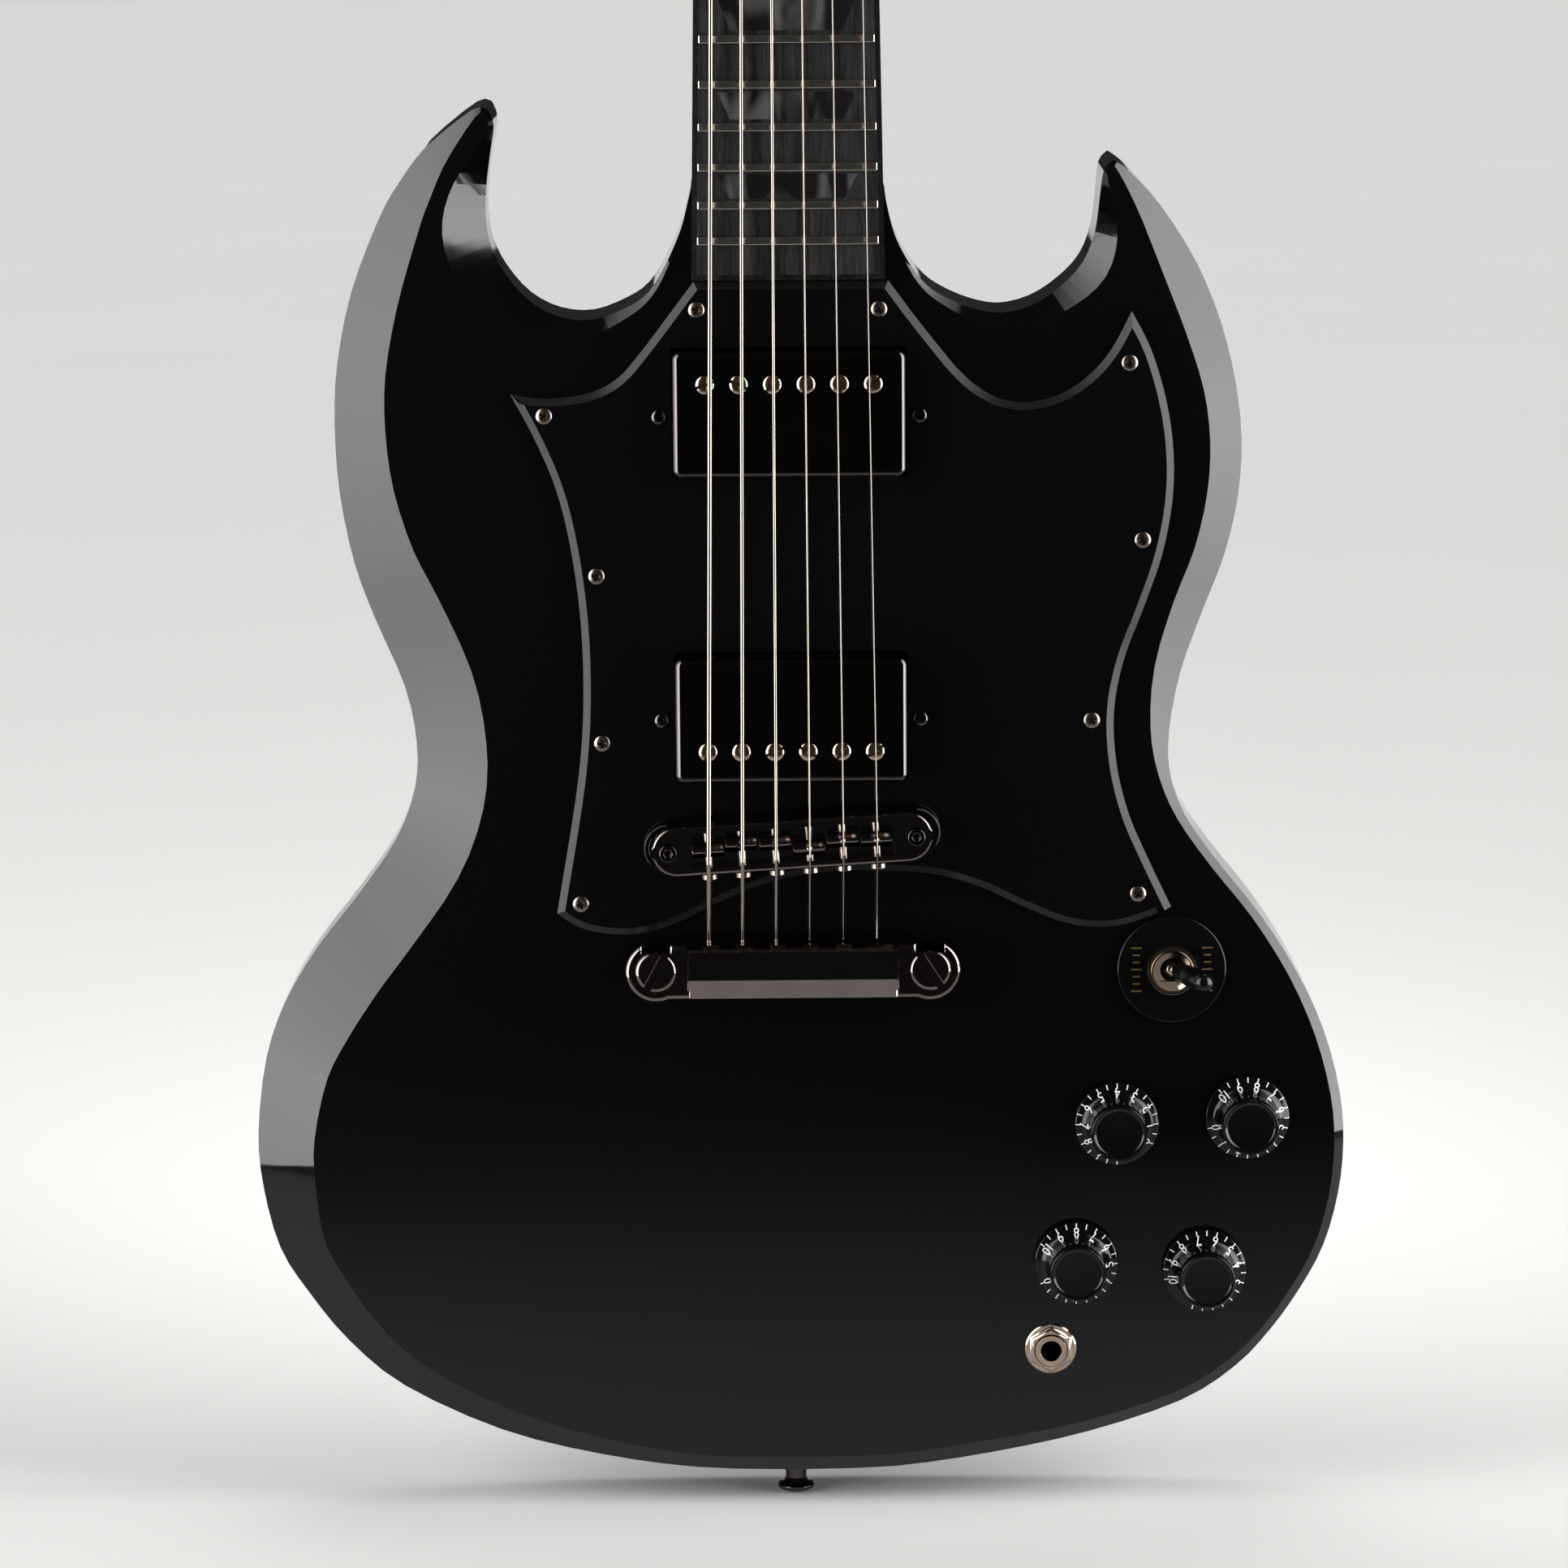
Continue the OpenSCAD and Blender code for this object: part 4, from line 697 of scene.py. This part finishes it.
# All four are the same, so one gives the sizes, in millimetres, with heights above the face
knob_low, knob_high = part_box("knob_neck_volume")
skirt_r = (knob_high.x - knob_low.x) * 500
knob_h = -(knob_low.y + half_body) * 1000
shaft_end = -(knob_high.y + half_body) * 1000
skirt = [
    (skirt_r, 2.9), (skirt_r - 0.15, 3.2), (skirt_r - 0.5, 3.4), (skirt_r - 1.6, 3.75),
    (skirt_r - 2.6, 4.2), (skirt_r - 3.3, 4.8), (skirt_r - 3.75, 5.8), (skirt_r - 3.95, 7.6),
    (skirt_r - 4.05, 11.5)
]
knob_profile = [
    (2.9, 4.6), (8, 4.6), (9.4, 1), (skirt_r - 0.3, 1), (skirt_r, 1.3), *skirt,
    (skirt_r - 4.1, knob_h - 0.9), (skirt_r - 4.25, knob_h - 0.35), (skirt_r - 4.55, knob_h - 0.05),
    (skirt_r - 4.85, knob_h), (skirt_r - 5.25, knob_h - 0.15), (skirt_r - 5.75, knob_h - 0.5),
    (3, knob_h - 0.62), (0, knob_h - 0.64)
]


def skirt_height(r):
    """The height of the knob's skirt at a radius, in millimetres."""
    for (r1, h1), (r2, h2) in zip(skirt, skirt[1:]):
        if r2 <= r <= r1:
            return h1 + (h2 - h1) * (r1 - r) / (r1 - r2)
    return skirt[0][1]


def flat_mark(name, body, size):
    """A number as a flat mesh centred on the origin, in metres."""
    bpy.ops.object.select_all(action="DESELECT")
    bpy.ops.object.text_add()
    mark = bpy.context.object
    mark.name = name
    mark.data.body = body
    mark.data.size = size
    mark.data.align_x = "CENTER"
    mark.data.align_y = "CENTER"
    bpy.ops.object.convert(target="MESH")
    return mark


number_angle = 30
number_size = 0.0036
number_place = (0, (skirt_r - 2.5) / 1000, 0)
tick_size = (0.32, 1.5, 1, 1)
tick_place = (0, (skirt_r - 0.9) / 1000, 0)
marks = []
for half in range(21):
    turn = Matrix.Rotation(math.radians(number_angle / 2 * half), 4, "Z")
    bpy.ops.object.select_all(action="DESELECT")
    bpy.ops.mesh.primitive_grid_add(x_subdivisions=1, y_subdivisions=3, size=0.001)
    tick = bpy.context.object
    tick.data.transform(turn @ Matrix.Translation(tick_place)
                        @ Matrix.Diagonal(tick_size))
    marks.append(tick)
    if half % 2 == 0:
        number = flat_mark("number", str(half // 2), number_size)
        number.data.transform(turn @ Matrix.Translation(number_place)
                              @ Matrix.Rotation(math.pi, 4, "Z"))
        marks.append(number)
alone(*marks)
bpy.ops.object.join()
scale_print = bpy.context.object
scale_print.name = "printed_scale"
# The print drapes over the skirt
ink_thickness = 0.03
for v in scale_print.data.vertices:
    v.co.z = (skirt_height(math.hypot(v.co.x, v.co.y) * 1000) + ink_thickness) / 1000

for name, reading in (("neck_volume", 4), ("bridge_volume", 8.5), ("neck_tone", 8),
                      ("bridge_tone", 6.6)):
    node = "knob_" + name
    turn = standing(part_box(node), -number_angle * reading, front=-half_body)
    knob = turned(node + "_moulding", [(2.9, shaft_end), *knob_profile])
    knob.data.transform(turn)
    knob.data.materials.append(moulded)
    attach(knob, node)
    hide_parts(node)
    printed = bpy.data.objects.new(node + "_scale", scale_print.data.copy())
    bpy.context.collection.objects.link(printed)
    printed.data.transform(turn)
    printed.data.materials.append(ink)
    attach(printed, node)
bpy.data.objects.remove(scale_print)

# --- Potentiometers and panel nuts ---
# Four sealed cans stand under the face in the control cavity, each held to the wood by a nut that
# the knob's skirt hides. A nut over a washer holds the jack, in bright nickel plate; a round dress
# nut with a knurled rim and a grooved top, in duller plate, holds the switch.
fit(soften(merged_copy("potentiometers", "sealed_potentiometers"), 0.0003), stamped,
    "potentiometers")
ring_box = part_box("switch_ring")
nuts = merged_copy("panel_nuts", "hexagonal_panel_nuts")
drop_faces(nuts, lambda face: within([ring_box])(face.center.x, face.center.z))
fit(soften(nuts, 0.0004, 1, 35, False), nickel, "panel_nuts")
dress_nut = turned("knurled_dress_nut", [
    (5.95, 1.34), (7.4, 1.34), (7.68, 1.6), (7.68, 3.9), (7.3, 4.45), (7.0, 4.48), (6.85, 4.15),
    (6.65, 4.15), (6.5, 4.45), (6.2, 4.3), (5.95, 3.9), (5.95, 1.34)
], 150, 7.5)
dress_nut.data.transform(standing(ring_box, front=-half_body))
fit(dress_nut, dull_nickel_and_painted_shade, "panel_nuts")

# --- Switch ---
# A three-way toggle with a black plastic ring round it, a steel lever and a tall black tip. Each
# side of the ring carries a plain row of ticks in gold foil, rubbed dark in places.
fit(soften(merged_copy("switch_ring", "switch_ring_disc"), 0.0004, 3), moulded, "switch_ring")
gilt, tree, shader, place = finish("gold_foil_print", "#c39b5f", 0.35, 1.0)
foil = add(tree, "ShaderNodeTexNoise", {"Vector": place, "Scale": 1800.0, "Detail": 2.0})
rubbed = add(tree, "ShaderNodeMix", {
    0: foil.outputs["Fac"], 6: tint("#8c6b3c"), 7: tint("#d9b478")}, data_type="RGBA")
tree.links.new(rubbed.outputs[2], shader.inputs["Base Color"])
bar_x = 0.0107
bar_step = 0.0022
bar_width = 0.5
foil_thickness = 0.00002
bars = []
for side in (-1, 1):
    for k in range(7):
        bpy.ops.object.select_all(action="DESELECT")
        bpy.ops.mesh.primitive_grid_add(x_subdivisions=3, y_subdivisions=1, size=0.001)
        bar = bpy.context.object
        bar_length = 3.2 if k in (0, 3, 6) else 2.2
        bar.data.transform(
            standing(ring_box)
            @ Matrix.Translation((side * bar_x, (k - 3) * bar_step, foil_thickness))
            @ Matrix.Diagonal((bar_length, bar_width, 1, 1)))
        bars.append(bar)
alone(*bars)
bpy.ops.object.join()
gold_ticks = bpy.context.object
gold_ticks.name = "gold_ticks"
gold_ticks.data.materials.append(gilt)
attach(gold_ticks, "guitar")

switch_frame = merged_copy("switch_housing", "switch_frame")
bush_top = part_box("switch_housing")[0].y
pivot = (ring_box[0] + ring_box[1]) / 2
# The edge of the bushing's bore is drawn in and down, to a dish round the lever's ball
dish_rim, dish_r, dish_depth = 0.005, 0.0036, 0.0026
for v in switch_frame.data.vertices:
    off = math.hypot(v.co.x - pivot.x, v.co.z - pivot.z)
    if v.co.y < bush_top + 0.0001 and off < dish_rim:
        v.co = (pivot.x + (v.co.x - pivot.x) * dish_r / off, bush_top + dish_depth,
                pivot.z + (v.co.z - pivot.z) * dish_r / off)
fit(soften(switch_frame, 0.0003), nickel, "switch_housing")
fit(soften(merged_copy("switch_lever", "steel_switch_lever"), 0.0002), nickel, "switch_lever",
    "switch_lever")
tip = turned("plastic_switch_tip", [
    (1.45, 6.4), (2.5, 6.4), (2.8, 6.8), (3.0, 10), (3.15, 15), (3.2, 19), (3.2, 21.3), (2.9, 23.0),
    (2.1, 24.2), (1.1, 24.7), (0, 24.8)
], 48)
lean = math.radians(22)     # to the treble side, half of the lever's throw
tip.data.transform(standing(ring_box, front=-half_body) @ Matrix.Rotation(lean, 4, "Y"))
fit(tip, moulded, "switch_tip", "switch_lever")

# --- Output jack ---
# A nickel-plated steel bushing that comes up through the face, with its contact springs below the
# wood. The nut and washer that clamp it are among the panel nuts.
fit(soften(merged_copy("output_jack", "threaded_jack"), 0.0006, 4), nickel, "output_jack")

# --- Tuners ---
# Six machine heads, plated in dark black nickel. Each has a cast housing that its hexagonal
# bushing clamps behind the headstock, a post for the string, and a button whose worm turns it.
fit(soften(merged_copy("tuner_housings", "cast_tuner_housings"), 0.0004), black_nickel,
    "tuner_housings")
for k in range(1, 7):
    fit(soften(merged_copy(f"tuner_post_{k}", f"string_post_{k}"), 0.0003), black_nickel,
        f"tuner_post_{k}", f"tuner_post_{k}")
    fit(soften(merged_copy(f"tuner_button_{k}", f"tuner_knob_{k}"), 0.0004), black_nickel,
        f"tuner_button_{k}", f"tuner_button_{k}")

# --- Strap buttons ---
# Two steel buttons turned to a waist for the strap and plated in black nickel, screwed into the
# body's end and behind the heel.
fit(soften(merged_copy("strap_buttons", "turned_strap_buttons"), 0.0003), black_nickel,
    "strap_buttons")

# --- Floor and light ---
# A pale paper floor under a broad bank of light that ends behind the guitar, so the lacquer mirrors
# a dim room in front of it, and a tall softbox each side that the bevels mirror.
paper, tree, shader, place = finish("pale_floor_paper", "#d9d8d5", 0.9)
fibre = add(tree, "ShaderNodeTexNoise", {"Vector": place, "Scale": 3.0, "Detail": 2.0})
tone = add(tree, "ShaderNodeMix", {
    0: fibre.outputs["Fac"], 6: tint("#d7d6d4"), 7: tint("#dbdad8")}, data_type="RGBA")
tree.links.new(tone.outputs[2], shader.inputs["Base Color"])
bpy.ops.object.select_all(action="DESELECT")
clearance = 0.0005
bpy.ops.mesh.primitive_plane_add(size=80, location=(0, 0, cad_box[0][2] - clearance))
floor = bpy.context.object
floor.name = "studio_floor"
floor.data.materials.append(paper)

for name, stand, aim, width, height, power, spread in (
    ("left_softbox", (-0.45, -0.21, 0.62), (-0.1, 0, 0.62), 0.44, 1.24, 6.5, 120),
    ("right_softbox", (0.6, -0.14, 0.62), (0.15, 0.05, 0.62), 0.5, 1.24, 9.6, 120),
    ("overhead_bank", (0, 4.15, 0.85), (0, 4.15, 0), 9.0, 8.0, 225, 60),
):
    lamp_data = bpy.data.lights.new(name, "AREA")
    lamp_data.shape = "RECTANGLE"
    lamp_data.size = width
    lamp_data.size_y = height
    lamp_data.energy = power
    lamp_data.spread = math.radians(spread)
    lamp = bpy.data.objects.new(name, lamp_data)
    bpy.context.collection.objects.link(lamp)
    lamp.location = stand
    lamp.rotation_euler = (Vector(aim) - Vector(stand)).to_track_quat("-Z", "Y").to_euler()
    lamp.visible_camera = False

room = bpy.data.worlds.new("grey_room")
room.use_nodes = True
room.node_tree.nodes["Background"].inputs["Color"].default_value = tint("#b9babd")
room.node_tree.nodes["Background"].inputs["Strength"].default_value = 0.07
bpy.context.scene.world = room
bpy.context.scene.view_settings.view_transform = "Standard"
